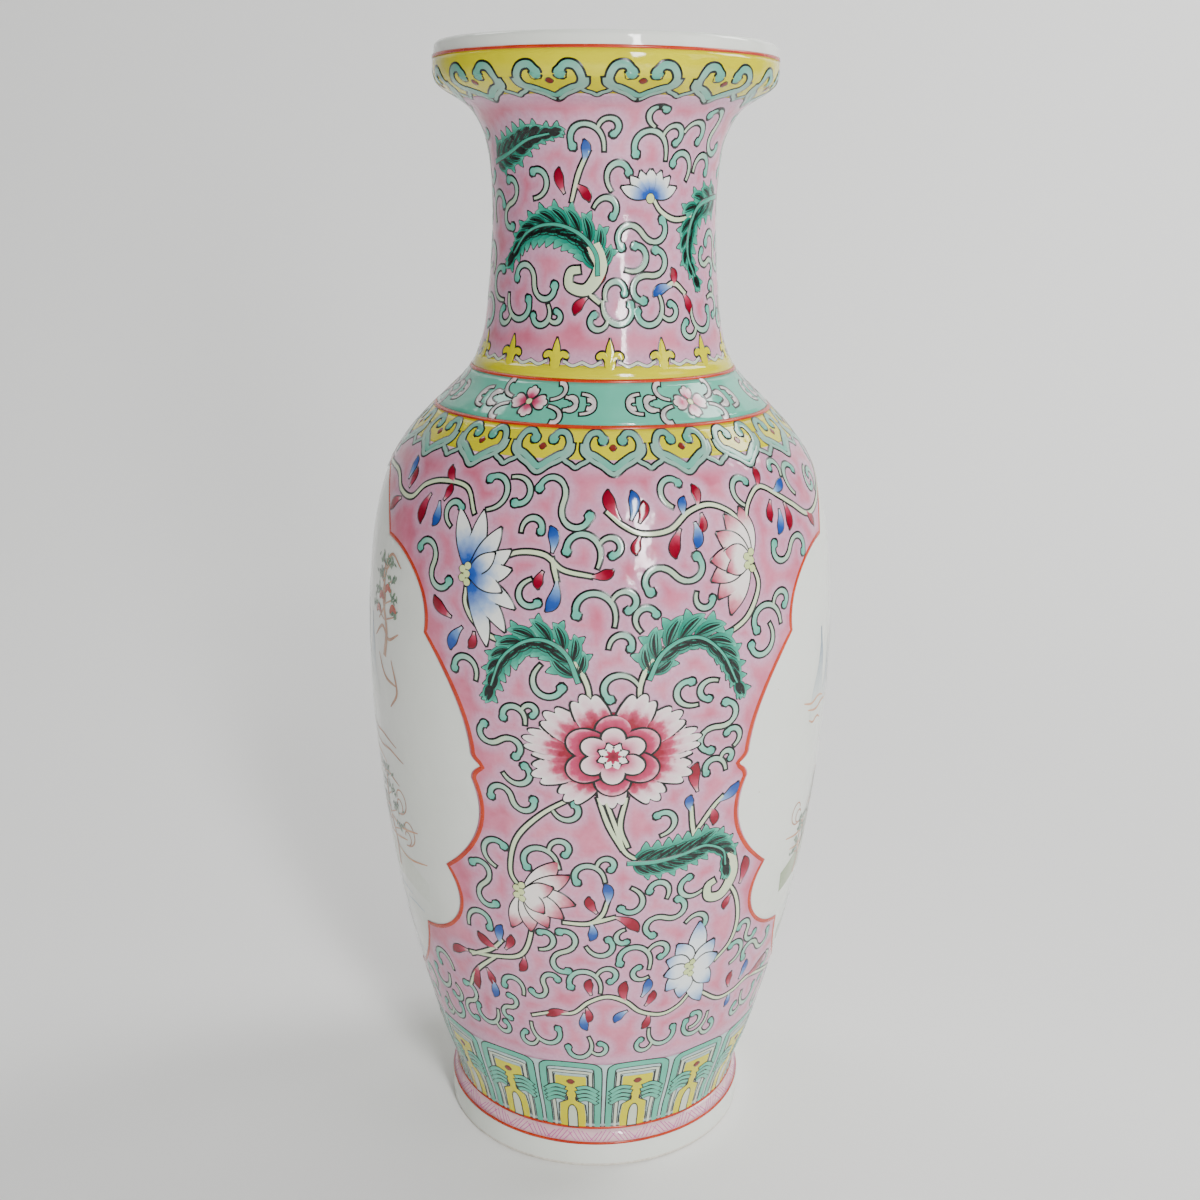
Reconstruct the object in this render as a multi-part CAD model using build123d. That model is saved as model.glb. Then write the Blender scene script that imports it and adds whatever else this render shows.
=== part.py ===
"""A porcelain baluster vase with a dished mouth, built the way a pottery builds it.

Five thrown sections are luted together with slip, the pot is glazed inside and out,
and overglaze enamels are fired onto the glaze. Every clay section, slip seam, glaze
coat and enamel coat is its own solid. Millimetres, +Z up, Z = 0 is the standing
plane, the axis of the vase is the Z axis, and the two reserved panels face +X and -X.
"""

from build123d import *
import math
import os

# Outline of the glazed pot: radii, and the rise of each stretch above the one before.
FOOT_RADIUS = 65.0
WAIST_RADIUS = 62.4
BELLY_RADIUS = 96.1
NECK_RADIUS = 43.4
MOUTH_RADIUS = 65.2
FOOT_RISE = 17.5
BODY_RISE = 205.0
SHOULDER_RISE = 169.5
FLARE_RISE = 46.0
RIM_RISE = 12.0

# Clay.
WALL = 4.4
FLOOR_THICKNESS = 8.0
FLOOR_CORNER = 14.0
RECESS_DEPTH = 9.0
RECESS_CORNER = 3.0
FOOT_RING_WIDTH = 7.5
FOOT_EDGE_ROUND = 1.4
BARE_RIM_HEIGHT = 1.8

# Seams between the thrown sections.
SLIP_THICKNESS = 0.8
SLIP_BEAD_RADIUS = 1.3
FOOT_SEAM_ABOVE_FLOOR = 6.0
BELLY_SEAM_BELOW_WIDEST = 72.0
NECK_SEAM_ABOVE_WIDEST = 103.0
MOUTH_SEAM_BELOW_RIM = 14.0

# Coats fired onto the clay.
GLAZE = 0.35
ENAMEL = 0.30
RED_LINE_WIDTH = 1.1
PANEL_LINE_WIDTH = 1.3

# Where the enamel bands begin and end.
MOUTH_LINE_BELOW_LIP = 5.6
MOUTH_YELLOW_DROP = 14.6
NECK_LINE_ABOVE_WIDEST = 106.7
NECK_YELLOW_RISE = 5.3
SHOULDER_TURQUOISE_DROP = 14.8
SHOULDER_YELLOW_DROP = 10.2
LAPPET_BAND_RISE = 37.6
FOOT_PINK_DROP = 5.0

# Reserved panels: margins to the bands above and below the body's pink ground.
PANEL_TOP_MARGIN = 12.6
PANEL_BOTTOM_MARGIN = 14.2

# Shape of each stretch of the outline, as (share of its rise, share of its change in radius).
BODY_SHAPE = [(0.08, 0.135), (0.22, 0.383), (0.42, 0.671), (0.66, 0.887)]
SHOULDER_SHAPE = [
    (0.16, 0.027), (0.32, 0.110), (0.40, 0.197), (0.46, 0.310), (0.51, 0.450), (0.56, 0.610),
    (0.60, 0.745), (0.645, 0.853), (0.70, 0.918), (0.80, 0.966),
]
FLARE_SHAPE = [(0.30, 0.035), (0.50, 0.105), (0.66, 0.245), (0.77, 0.430), (0.85, 0.680), (0.92, 0.905)]

# Half of a panel's outline, top to bottom, as arcs: a point on the arc and the point it ends in,
# each as (degrees round the vase from the panel's middle, share of the panel's height).
PANEL_ARCS = [
    ((19.5, 0.950), (25.0, 0.895)),
    ((39.5, 0.848), (43.5, 0.755)),
    ((53.0, 0.660), (57.0, 0.568)),
    ((57.9, 0.552), (60.1, 0.542)),
    ((57.9, 0.532), (57.0, 0.516)),
    ((56.3, 0.400), (46.5, 0.327)),
    ((48.8, 0.235), (33.0, 0.170)),
    ((25.5, 0.075), (0.0, 0.000)),
]

# Heights that follow from the sizes above.
WAIST_Z = FOOT_RISE
WIDEST_Z = WAIST_Z + BODY_RISE
NARROWEST_Z = WIDEST_Z + SHOULDER_RISE
RIM_Z = NARROWEST_Z + FLARE_RISE
LIP_Z = RIM_Z + RIM_RISE
FLOOR_Z = RECESS_DEPTH + FLOOR_THICKNESS
LIP_RADIUS = WALL / 2
HALF_LINE = RED_LINE_WIDTH / 2

FOOT_SEAM_Z = FLOOR_Z + FOOT_SEAM_ABOVE_FLOOR
BELLY_SEAM_Z = WIDEST_Z - BELLY_SEAM_BELOW_WIDEST
NECK_SEAM_Z = WIDEST_Z + NECK_SEAM_ABOVE_WIDEST
MOUTH_SEAM_Z = RIM_Z - MOUTH_SEAM_BELOW_RIM

MOUTH_LINE_Z = LIP_Z - MOUTH_LINE_BELOW_LIP
MOUTH_YELLOW_FOOT_Z = MOUTH_LINE_Z - MOUTH_YELLOW_DROP
NECK_LINE_Z = WIDEST_Z + NECK_LINE_ABOVE_WIDEST
NECK_YELLOW_TOP_Z = NECK_LINE_Z + NECK_YELLOW_RISE
SHOULDER_LINE_Z = NECK_LINE_Z - SHOULDER_TURQUOISE_DROP
SHOULDER_YELLOW_FOOT_Z = SHOULDER_LINE_Z - SHOULDER_YELLOW_DROP
FOOT_UPPER_LINE_Z = WAIST_Z
LAPPET_TOP_Z = FOOT_UPPER_LINE_Z + LAPPET_BAND_RISE
FOOT_LOWER_LINE_Z = FOOT_UPPER_LINE_Z - FOOT_PINK_DROP - RED_LINE_WIDTH


def at(radius, height):
    """A point of the half section, which is drawn in the XZ plane."""
    return Vector(radius, 0, height)


def stretch(start, end, shape):
    """Outline stations between two (radius, height) corners."""
    (r0, z0), (r1, z1) = start, end
    return [at(r0 + (r1 - r0) * change, z0 + (z1 - z0) * rise) for rise, change in shape]


WAIST = (WAIST_RADIUS, WAIST_Z)
WIDEST = (BELLY_RADIUS, WIDEST_Z)
NARROWEST = (NECK_RADIUS, NARROWEST_Z)
RIM = (MOUTH_RADIUS, RIM_Z)

STATIONS = [
    at(*WAIST),
    *stretch(WAIST, WIDEST, BODY_SHAPE),
    at(*WIDEST),
    *stretch(WIDEST, NARROWEST, SHOULDER_SHAPE),
    at(*NARROWEST),
    *stretch(NARROWEST, RIM, FLARE_SHAPE),
    at(*RIM),
]
OUTLINE = Spline(*STATIONS, tangents=[(0.1, 0, 1), (0, 0, 1)])


def parallel(stations, outward):
    """The stations moved square to the outline, away from the axis where outward is positive."""
    moved = []
    for station in stations:
        along = OUTLINE.tangent_at(OUTLINE.param_at_point(station))
        moved.append(station + Vector(along.Z, 0, -along.X) * outward)
    return moved


def face_of(*edges):
    """A flat face inside a closed run of edges."""
    return Face(Wire(edges))


def outer_region(grow):
    """Everything inside the pot's outer surface, grown outward by a coat's thickness."""
    waist, *others = parallel(STATIONS, grow)
    waist = at(waist.X, WAIST_Z)
    rim = others[-1]
    edge = FOOT_RADIUS + grow
    edge_top = FOOT_EDGE_ROUND
    lip_middle = MOUTH_RADIUS - LIP_RADIUS
    lip = LIP_RADIUS + grow
    lip_height = LIP_Z - LIP_RADIUS
    round_middle = FOOT_EDGE_ROUND * (1 - math.sqrt(0.5))
    bulge = at((edge + waist.X) / 2 + FOOT_RISE / 15, (edge_top + WAIST_Z) / 2)
    return face_of(
        Line(at(0, 0), at(edge - FOOT_EDGE_ROUND, 0)),
        ThreePointArc(at(edge - FOOT_EDGE_ROUND, 0), at(edge - round_middle, round_middle), at(edge, edge_top)),
        ThreePointArc(at(edge, edge_top), bulge, waist),
        Spline(waist, *others, tangents=[(0.1, 0, 1), (0, 0, 1)]),
        Line(rim, at(rim.X, lip_height)),
        ThreePointArc(at(rim.X, lip_height), at(lip_middle + lip * math.sqrt(0.5),
                      lip_height + lip * math.sqrt(0.5)), at(lip_middle, lip_height + lip)),
        Line(at(lip_middle, lip_height + lip), at(0, lip_height + lip)),
        Line(at(0, lip_height + lip), at(0, 0)),
    )


def cavity_region(grow):
    """The hollow that holds water and flowers, grown into the wall by a coat's thickness."""
    waist, *others = parallel(STATIONS, grow - WALL)
    floor_z = FLOOR_Z - grow
    rim = others[-1]
    lip_middle = MOUTH_RADIUS - LIP_RADIUS
    lip = LIP_RADIUS - grow
    lip_height = LIP_Z - LIP_RADIUS
    floor_edge = at(waist.X - FLOOR_CORNER, floor_z)
    return face_of(
        Line(at(0, floor_z), floor_edge),
        Spline(floor_edge, *others, tangents=[(1, 0, 0), (0, 0, 1)]),
        Line(rim, at(rim.X, lip_height)),
        ThreePointArc(at(rim.X, lip_height), at(lip_middle - lip * math.sqrt(0.5),
                      lip_height + lip * math.sqrt(0.5)), at(lip_middle, lip_height + lip)),
        Line(at(lip_middle, lip_height + lip), at(lip_middle, LIP_Z + WALL)),
        Line(at(lip_middle, LIP_Z + WALL), at(0, LIP_Z + WALL)),
        Line(at(0, LIP_Z + WALL), at(0, floor_z)),
    )


def recess_region(grow):
    """The hollow under the floor, inside the foot ring."""
    radius = FOOT_RADIUS - FOOT_EDGE_ROUND - FOOT_RING_WIDTH + grow
    top = RECESS_DEPTH + grow
    middle = RECESS_CORNER * (1 - math.sqrt(0.5))
    return face_of(
        Line(at(0, -WALL), at(radius, -WALL)),
        Line(at(radius, -WALL), at(radius, top - RECESS_CORNER)),
        ThreePointArc(at(radius, top - RECESS_CORNER), at(radius - middle, top - middle),
                      at(radius - RECESS_CORNER, top)),
        Line(at(radius - RECESS_CORNER, top), at(0, top)),
        Line(at(0, top), at(0, -WALL)),
    )


def strip(low, high):
    """A horizontal slice of the half plane."""
    width = 2 * max(BELLY_RADIUS, MOUTH_RADIUS, FOOT_RADIUS)
    return face_of(
        Line(at(0, low), at(width, low)),
        Line(at(width, low), at(width, high)),
        Line(at(width, high), at(0, high)),
        Line(at(0, high), at(0, low)),
    )


def bead(seam_z, grow):
    """Section of the roll of slip that squeezes out inside a seam and is smoothed down."""
    inner = radius_at(seam_z, -WALL)
    middle = Plane(origin=at(inner, seam_z), x_dir=(1, 0, 0), z_dir=(0, -1, 0))
    return middle * Circle(SLIP_BEAD_RADIUS + grow)


def radius_at(height, outward=0.0):
    """Radius of the outline, or of a curve parallel to it, at a height."""
    curve = OUTLINE if outward == 0 else Spline(*parallel(STATIONS, outward), tangents=[(0.1, 0, 1), (0, 0, 1)])
    low, high = 0.0, 1.0
    for _ in range(40):
        half = (low + high) / 2
        if curve.position_at(half).Z < height:
            low = half
        else:
            high = half
    return curve.position_at(low).X


def turn(section):
    """The solid that a section sweeps once round the axis of the vase."""
    return revolve(section, Axis.Z)


def save(name, shape):
    """Writes one node."""
    export_step(shape, os.path.join("parts", name + ".step"))


os.makedirs("parts", exist_ok=True)

# The pot: clay everywhere under the glaze, and bare clay on the rim that it stands on.
seams = [FOOT_SEAM_Z, BELLY_SEAM_Z, NECK_SEAM_Z, MOUTH_SEAM_Z]
glazed = outer_region(0) - cavity_region(0) - recess_region(0)
clay = outer_region(-GLAZE) - cavity_region(GLAZE) - recess_region(GLAZE)
clay = clay + (glazed & strip(0, BARE_RIM_HEIGHT))
for seam_z in seams:
    glazed = glazed + bead(seam_z, GLAZE)

# Clay sections between the seams, foot first.
section_names = [
    "foot_section", "lower_body_section", "upper_body_section", "neck_section", "mouth_section",
]
section_floors = [0.0] + [seam_z + SLIP_THICKNESS / 2 for seam_z in seams]
section_tops = [seam_z - SLIP_THICKNESS / 2 for seam_z in seams] + [LIP_Z]
for name, low, high in zip(section_names, section_floors, section_tops):
    body = clay & strip(low, high)
    for seam_z in seams:
        body = body - bead(seam_z, 0)
    save(name, turn(body))

# Luting slip: a thin layer across the wall, with its bead inside the pot.
seam_names = ["foot", "belly", "neck", "mouth"]
slips = []
for name, seam_z in zip(seam_names, seams):
    layer = clay & strip(seam_z - SLIP_THICKNESS / 2, seam_z + SLIP_THICKNESS / 2)
    slip = layer + (bead(seam_z, 0) & (glazed + bead(seam_z, 0)))
    slips.append(slip)
    save("luting_slip_" + name, turn(slip))

# Clear glaze: one coat over the outside, the lip and the inside, and one under the floor.
coat = glazed - clay
for slip in slips:
    coat = coat - slip
for face in coat.faces():
    under_floor = face.center().X < FOOT_RADIUS and face.bounding_box().max.Z < FLOOR_Z
    save("base_glaze" if under_floor else "glaze_coat", turn(face))

# Enamel coats on the glaze, top to bottom. Red lines are banded on where two colours meet.
skin = outer_region(ENAMEL) - outer_region(0)


def band(low, high):
    """An enamel coat right round the vase between two heights."""
    return turn(skin & strip(low, high))


for name, middle in [
    ("iron_red_line_mouth", MOUTH_LINE_Z),
    ("iron_red_line_neck", NECK_LINE_Z),
    ("iron_red_line_shoulder", SHOULDER_LINE_Z),
    ("iron_red_line_foot_upper", FOOT_UPPER_LINE_Z),
    ("iron_red_line_foot_lower", FOOT_LOWER_LINE_Z),
]:
    save(name, band(middle - HALF_LINE, middle + HALF_LINE))

save("enamel_mouth_yellow", band(MOUTH_YELLOW_FOOT_Z, MOUTH_LINE_Z - HALF_LINE))
save("enamel_neck_pink", band(NECK_YELLOW_TOP_Z, MOUTH_YELLOW_FOOT_Z))
save("enamel_neck_yellow", band(NECK_LINE_Z + HALF_LINE, NECK_YELLOW_TOP_Z))
save("enamel_shoulder_turquoise", band(SHOULDER_LINE_Z + HALF_LINE, NECK_LINE_Z - HALF_LINE))
save("enamel_shoulder_yellow", band(SHOULDER_YELLOW_FOOT_Z, SHOULDER_LINE_Z - HALF_LINE))
save("enamel_lappet_band", band(FOOT_UPPER_LINE_Z + HALF_LINE, LAPPET_TOP_Z))
save("enamel_foot_pink", band(FOOT_LOWER_LINE_Z + HALF_LINE, FOOT_UPPER_LINE_Z - HALF_LINE))

# Reserved panels: lobed windows in the body's pink ground, seen square on from the side.
panel_foot = LAPPET_TOP_Z + PANEL_BOTTOM_MARGIN
panel_top = SHOULDER_YELLOW_FOOT_Z - PANEL_TOP_MARGIN


def panel_point(degrees, share):
    """A panel corner as a point in the YZ plane, from its angle round the vase and its height."""
    height = panel_foot + share * (panel_top - panel_foot)
    return Vector(0, radius_at(height) * math.sin(math.radians(degrees)), height)


def panel_face():
    """The window's outline: lobes that meet in cusps, mirrored about the panel's middle."""
    edges = []
    previous = panel_point(0, 1)
    for crown, end in PANEL_ARCS:
        edges.append(ThreePointArc(previous, panel_point(*crown), panel_point(*end)))
        previous = panel_point(*end)
    edges += [mirror(edge, Plane.XZ).edge() for edge in edges]
    return Face(Wire.combine(edges)[0])


window = panel_face()
reach = 2 * BELLY_RADIUS
opening = extrude(window, reach, dir=(1, 0, 0))
cutter = extrude(offset(window, PANEL_LINE_WIDTH, kind=Kind.ARC), reach, dir=(1, 0, 0))
quarter_back = Rot(0, 0, -90)
half_turn = Rot(0, 0, 180)
half_skin = quarter_back * revolve(skin & strip(LAPPET_TOP_Z, SHOULDER_YELLOW_FOOT_Z), Axis.Z, 180)
half_ground = half_skin - cutter
outline = (half_skin & cutter) - opening
save("enamel_body_pink", half_ground + half_turn * half_ground)
save("iron_red_panel_outline_right", outline)
save("iron_red_panel_outline_left", half_turn * outline)
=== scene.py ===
import math

import bmesh
import bpy
import numpy as np
from mathutils import Matrix, Vector
from mathutils.geometry import delaunay_2d_cdt
from mathutils.kdtree import KDTree


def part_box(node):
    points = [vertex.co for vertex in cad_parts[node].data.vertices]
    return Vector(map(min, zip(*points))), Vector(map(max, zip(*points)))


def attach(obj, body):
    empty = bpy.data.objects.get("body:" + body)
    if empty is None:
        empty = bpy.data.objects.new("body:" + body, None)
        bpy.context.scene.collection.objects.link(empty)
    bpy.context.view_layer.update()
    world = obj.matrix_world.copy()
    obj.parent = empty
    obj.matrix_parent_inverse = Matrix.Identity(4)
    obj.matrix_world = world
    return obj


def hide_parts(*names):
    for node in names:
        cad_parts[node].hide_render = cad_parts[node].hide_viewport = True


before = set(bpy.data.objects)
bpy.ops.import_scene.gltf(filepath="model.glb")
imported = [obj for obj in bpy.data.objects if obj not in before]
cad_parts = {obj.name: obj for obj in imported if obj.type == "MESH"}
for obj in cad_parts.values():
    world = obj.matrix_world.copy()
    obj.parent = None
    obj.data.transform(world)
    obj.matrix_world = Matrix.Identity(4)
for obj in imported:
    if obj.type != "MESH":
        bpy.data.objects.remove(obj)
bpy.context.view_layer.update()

MM = 0.001

# ---------------------------------------------------------------------------------------------
# The outline of the vase. Thrown porcelain, turned on the wheel, so every coat and brush stroke
# lies on one figure of revolution. It is read here from the fired glaze: heights and radii in
# millimetres, and s is the length along the outline from the standing plane up to the lip.


def ring_stations(node, side):
    """(height, radius) of points on the outside (side 1) or inside (side -1) of a piece."""
    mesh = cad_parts[node].data
    found = []
    for face in mesh.polygons:
        middle = face.center
        radial = face.normal.x * middle.x + face.normal.y * middle.y
        if side * radial > 0.05 * math.hypot(middle.x, middle.y):
            for index in face.vertices:
                corner = mesh.vertices[index].co
                found.append((corner.z / MM, math.hypot(corner.x, corner.y) / MM))
    found = np.array(found)
    kept = []
    for low in np.arange(0, found[:, 0].max(), 1.5):
        level = found[(found[:, 0] >= low) & (found[:, 0] < low + 1.5)]
        if len(level) == 0:
            continue
        edge = level[:, 1].max() if side > 0 else level[:, 1].min()
        level = level[np.abs(level[:, 1] - edge) < 3.5]
        kept.append(level[np.argmin(np.abs(level[:, 0] - level[:, 0].mean()))])
    return np.array(kept)


def natural_spline(x, y, at):
    """Smooth curve through stations, with no bend at its two ends."""
    h = np.diff(x)
    n = len(x)
    system = np.zeros((n, n))
    right = np.zeros(n)
    system[0, 0] = system[-1, -1] = 1
    for i in range(1, n - 1):
        system[i, i - 1:i + 2] = h[i - 1], 2 * (h[i - 1] + h[i]), h[i]
        right[i] = 6 * ((y[i + 1] - y[i]) / h[i] - (y[i] - y[i - 1]) / h[i - 1])
    bend = np.linalg.solve(system, right)
    i = np.clip(np.searchsorted(x, at) - 1, 0, n - 2)
    a, b = (x[i + 1] - at) / h[i], (at - x[i]) / h[i]
    return a * y[i] + b * y[i + 1] + ((a**3 - a) * bend[i] + (b**3 - b) * bend[i + 1]) * h[i]**2 / 6


LIP_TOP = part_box("glaze_coat")[1].z / MM
LIP_RADIUS = 2.2
stations = ring_stations("glaze_coat", 1)
stations = stations[stations[:, 0] < LIP_TOP - LIP_RADIUS + 0.4]
GLAZE_FOOT = stations[0, 0]
heights = np.arange(GLAZE_FOOT, stations[-1, 0], 0.2)
radii = natural_spline(stations[:, 0], stations[:, 1], heights)
lengths = GLAZE_FOOT + np.concatenate([[0], np.cumsum(np.hypot(np.diff(radii), np.diff(heights)))])
slope_r = np.gradient(radii, lengths)
slope_z = np.gradient(heights, lengths)


def s_at(height):
    """Length along the outline at a height."""
    return float(np.interp(height, heights, lengths))


def on_vase(angle, s, lift):
    """Points on the vase: angle in radians round from the front, s and lift in millimetres."""
    s = np.asarray(s, float)
    r = np.interp(s, lengths, radii) + np.interp(s, lengths, slope_z) * lift
    z = np.interp(s, lengths, heights) - np.interp(s, lengths, slope_r) * lift
    return np.column_stack([r * np.sin(angle), -r * np.cos(angle), z]) * MM


# ---------------------------------------------------------------------------------------------
# Clear glaze, outside, over the lip and inside. A feldspar glaze fired to a hard gloss over
# white porcelain: faintly green where it lies thick, with a very slight wave in its surface.


def linear(code):
    """A colour as sRGB hex, turned to the linear values that a shader takes."""
    parts = [int(code[i:i + 2], 16) / 255 for i in (0, 2, 4)]
    return [p / 12.92 if p <= 0.04045 else ((p + 0.055) / 1.055)**2.4 for p in parts] + [1.0]


def add(tree, kind, settings=(), **links):
    """Adds one node: settings go to its inputs or its own fields, links to its inputs."""
    node = tree.nodes.new(kind)
    for name, value in dict(settings).items():
        if name in node.inputs:
            node.inputs[name].default_value = value
        else:
            setattr(node, name, value)
    for name, source in links.items():
        tree.links.new(source, node.inputs[name.replace("_", " ")])
    return node


def ramp(tree, stops, factor):
    """Colour that runs through (position, hex) stops."""
    node = add(tree, "ShaderNodeValToRGB", Fac=factor)
    marks = node.color_ramp.elements
    marks.remove(marks[-1])
    marks[0].position, marks[0].color = stops[0][0], linear(stops[0][1])
    for position, code in stops[1:]:
        marks.new(position).color = linear(code)
    return node.outputs["Color"]


def gloss(name, colour, roughness, wave, grain=0.0):
    """A glassy fired surface. colour(tree, coordinates) gives its base colour."""
    material = bpy.data.materials.new(name)
    material.use_nodes = True
    tree = material.node_tree
    tree.nodes.clear()
    where = add(tree, "ShaderNodeTexCoord").outputs["Object"]
    slow = add(tree, "ShaderNodeTexNoise", {"Scale": 80.0, "Detail": 2.0}, Vector=where)
    fine = add(tree, "ShaderNodeTexNoise", {"Scale": 900.0, "Detail": 3.0}, Vector=where)
    waves = add(tree, "ShaderNodeBump", {"Strength": 1.0, "Distance": 4.0 * wave * MM},
                Height=slow.outputs["Fac"])
    grains = add(tree, "ShaderNodeBump", {"Strength": 1.0, "Distance": grain * MM},
                 Height=fine.outputs["Fac"], Normal=waves.outputs["Normal"])
    rough = add(tree, "ShaderNodeMapRange", {"To Min": roughness * 0.8, "To Max": roughness * 1.25},
                Value=fine.outputs["Fac"])
    surface = add(tree, "ShaderNodeBsdfPrincipled", {"IOR": 1.5}, Base_Color=colour(tree, where),
                  Roughness=rough.outputs["Result"], Normal=grains.outputs["Normal"])
    add(tree, "ShaderNodeOutputMaterial", Surface=surface.outputs["BSDF"])
    return material


def glaze_colour(tree, where):
    cloud = add(tree, "ShaderNodeTexNoise", {"Scale": 14.0, "Detail": 3.0}, Vector=where)
    speck = add(tree, "ShaderNodeTexVoronoi", {"Scale": 90.0}, Vector=where)
    dot = add(tree, "ShaderNodeMapRange", {"From Min": 0.02, "From Max": 0.035},
              Value=speck.outputs["Distance"])
    white = ramp(tree, [(0.3, "E3E8DD"), (0.7, "EBEDE6")], cloud.outputs["Fac"])
    mix = add(tree, "ShaderNodeMix", {"data_type": "RGBA"}, Factor=dot.outputs["Result"])
    tree.links.new(white, mix.inputs[7])
    mix.inputs[6].default_value = linear("C9C3B2")
    return mix.outputs[2]


# Clear glaze on white porcelain: bright mirror reflections over a milky, faintly green white.
glaze_white = gloss("clear_glaze_on_porcelain", glaze_colour, 0.06, 0.10)


def mesh_object(name, points, faces, material, shade=None, halo=None):
    """A smooth mesh at the origin, with its faces turned as they are given."""
    mesh = bpy.data.meshes.new(name)
    mesh.from_pydata([tuple(p) for p in points], [], [tuple(map(int, f)) for f in faces])
    for label, values in (("shade", shade), ("halo", halo)):
        if values is not None:
            mesh.attributes.new(label, "FLOAT", "POINT").data.foreach_set(
                "value", np.asarray(values, np.float32))
    mesh.materials.append(material)
    mesh.polygons.foreach_set("use_smooth", [True] * len(mesh.polygons))
    mesh.update()
    made = bpy.data.objects.new(name, mesh)
    frame_scene.collection.objects.link(made)
    return made


def lathe(name, profile, material, turns=240):
    """Turns (radius, height) points, listed anticlockwise in section, once round the axis."""
    profile = np.asarray(profile, float)
    angles = np.arange(turns) * 2 * math.pi / turns
    points = []
    for r, z in profile:
        points.append(np.column_stack([r * np.cos(angles), r * np.sin(angles), np.full(turns, z)]))
    points = np.concatenate(points) * MM
    faces = []
    for i in range(len(profile) - 1):
        a, b = i * turns, (i + 1) * turns
        for j in range(turns):
            k = (j + 1) % turns
            faces.append((a + j, a + k, b + k, b + j))
    made = mesh_object(name, points, faces, material)
    work = bmesh.new()
    work.from_mesh(made.data)
    bmesh.ops.remove_doubles(work, verts=work.verts, dist=1e-7)
    bmesh.ops.dissolve_degenerate(work, edges=work.edges, dist=1e-8)
    work.to_mesh(made.data)
    work.free()
    return made


def finished(made, slot, *nodes):
    """Joins a piece to the vase's root body and hides the nodes it stands for. slot is not used."""
    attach(made, "root")
    if nodes:
        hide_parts(*nodes)
    return made


frame_scene = bpy.context.scene
rim_z = LIP_TOP - LIP_RADIUS
rim_r = float(np.interp(rim_z, heights, radii))
lip = [(rim_r - LIP_RADIUS + LIP_RADIUS * math.cos(a), rim_z + LIP_RADIUS * math.sin(a))
       for a in np.linspace(0, math.pi, 15)[1:-1]]
steps = np.concatenate([np.arange(lengths[0], s_at(300), 3.0), np.arange(s_at(300), s_at(rim_z), 1.6)])
outside = list(zip(np.interp(steps, lengths, radii), np.interp(steps, lengths, heights)))

# Inside, the glaze lines the thrown sections and the beads of slip in their seams, so it is
# taken from their own inner walls, one point in each stretch of height above the floor.
INSIDE_LIFT = 0.8
FLOOR_EDGE = 18
STRETCH = 2.5
wall = np.concatenate([ring_stations(node, -1) for node in (
    "foot_section", "lower_body_section", "upper_body_section", "neck_section", "mouth_section",
    "luting_slip_foot", "luting_slip_belly", "luting_slip_neck", "luting_slip_mouth")])
wall = wall[(wall[:, 0] > FLOOR_EDGE) & (wall[:, 0] < rim_z - 0.5)]
stretches = [wall[(wall[:, 0] >= low) & (wall[:, 0] < low + STRETCH)]
             for low in np.arange(FLOOR_EDGE, rim_z, STRETCH)]
inner = np.array([stretch[np.argmin(stretch[:, 1])] for stretch in stretches if len(stretch)])
inner[:, 1] -= INSIDE_LIFT
floor_z = inner[0, 0] - 0.6
inside = [(r, z) for z, r in inner[::-1]]
inside += [(inside[-1][0] - 3.0, floor_z), (0.001, floor_z)]
glaze_coat = lathe("glaze_coat_fired", outside + [(rim_r, rim_z)] + lip + inside, glaze_white)
finished(glaze_coat, "clear_glaze", "glaze_coat")

# ---------------------------------------------------------------------------------------------
# Foot ring and recessed base. The rim the vase stands on was wiped clean of glaze before the
# firing, so it is bare, fine-grained porcelain; the recess inside it is glazed again.


def bare_colour(tree, where):
    grains = add(tree, "ShaderNodeTexNoise", {"Scale": 600.0, "Detail": 4.0}, Vector=where)
    return ramp(tree, [(0.35, "CFC8BA"), (0.65, "E2DDD2")], grains.outputs["Fac"])


# Unglazed fired porcelain: chalky, no mirror reflection, a little grit from the kiln shelf.
bare_porcelain = gloss("bare_porcelain_rim", bare_colour, 0.55, 0.02, grain=0.05)
ring_low, ring_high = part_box("foot_section")
base_low, base_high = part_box("base_glaze")
recess_r = base_high.x / MM
recess_z = base_high.z / MM - 0.35
edge_r = ring_high.x / MM
rim_profile = [(recess_r, base_low.z / MM + 0.05), (recess_r, 0.8), (recess_r + 0.8, 0.0)]
rim_profile += [(edge_r - 1.4 + 1.4 * math.sin(a), 1.4 - 1.4 * math.cos(a))
                for a in np.linspace(0, math.pi / 2, 9)]
rim_profile += [(radii[0], GLAZE_FOOT + 0.05)]
foot_rim = lathe("foot_rim_bare", rim_profile, bare_porcelain)
finished(foot_rim, "porcelain_body", "foot_section")
recess = [(0.001, recess_z)] + [(recess_r - 3.0 + 3.0 * math.sin(a), recess_z - 3.0 + 3.0 * math.cos(a))
                                for a in np.linspace(0, math.pi / 2, 9)]
recess += [(recess_r, base_low.z / MM)]
base_fired = lathe("base_glaze_fired", recess, glaze_white)
finished(base_fired, "clear_glaze", "base_glaze")

# The clay sections and the slip in their seams are left as built, behind the glaze.
for node in ("lower_body_section", "upper_body_section", "neck_section", "mouth_section",
             "luting_slip_foot", "luting_slip_belly", "luting_slip_neck", "luting_slip_mouth"):
    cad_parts[node].material_slots[0].material = bare_porcelain

# ---------------------------------------------------------------------------------------------
# Enamel grounds. Opaque lead enamels laid over the glaze in flat coats a third of a millimetre
# thick and fired again; the rose one is cloudy, and pales where it was kept thin round scrolls.


def plain(*stops, spread=30.0):
    """A colour that drifts through stops, as a hand-laid coat does."""
    def colour(tree, where):
        cloud = add(tree, "ShaderNodeTexNoise", {"Scale": spread, "Detail": 4.0}, Vector=where)
        return ramp(tree, stops, cloud.outputs["Fac"])
    return colour


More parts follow.
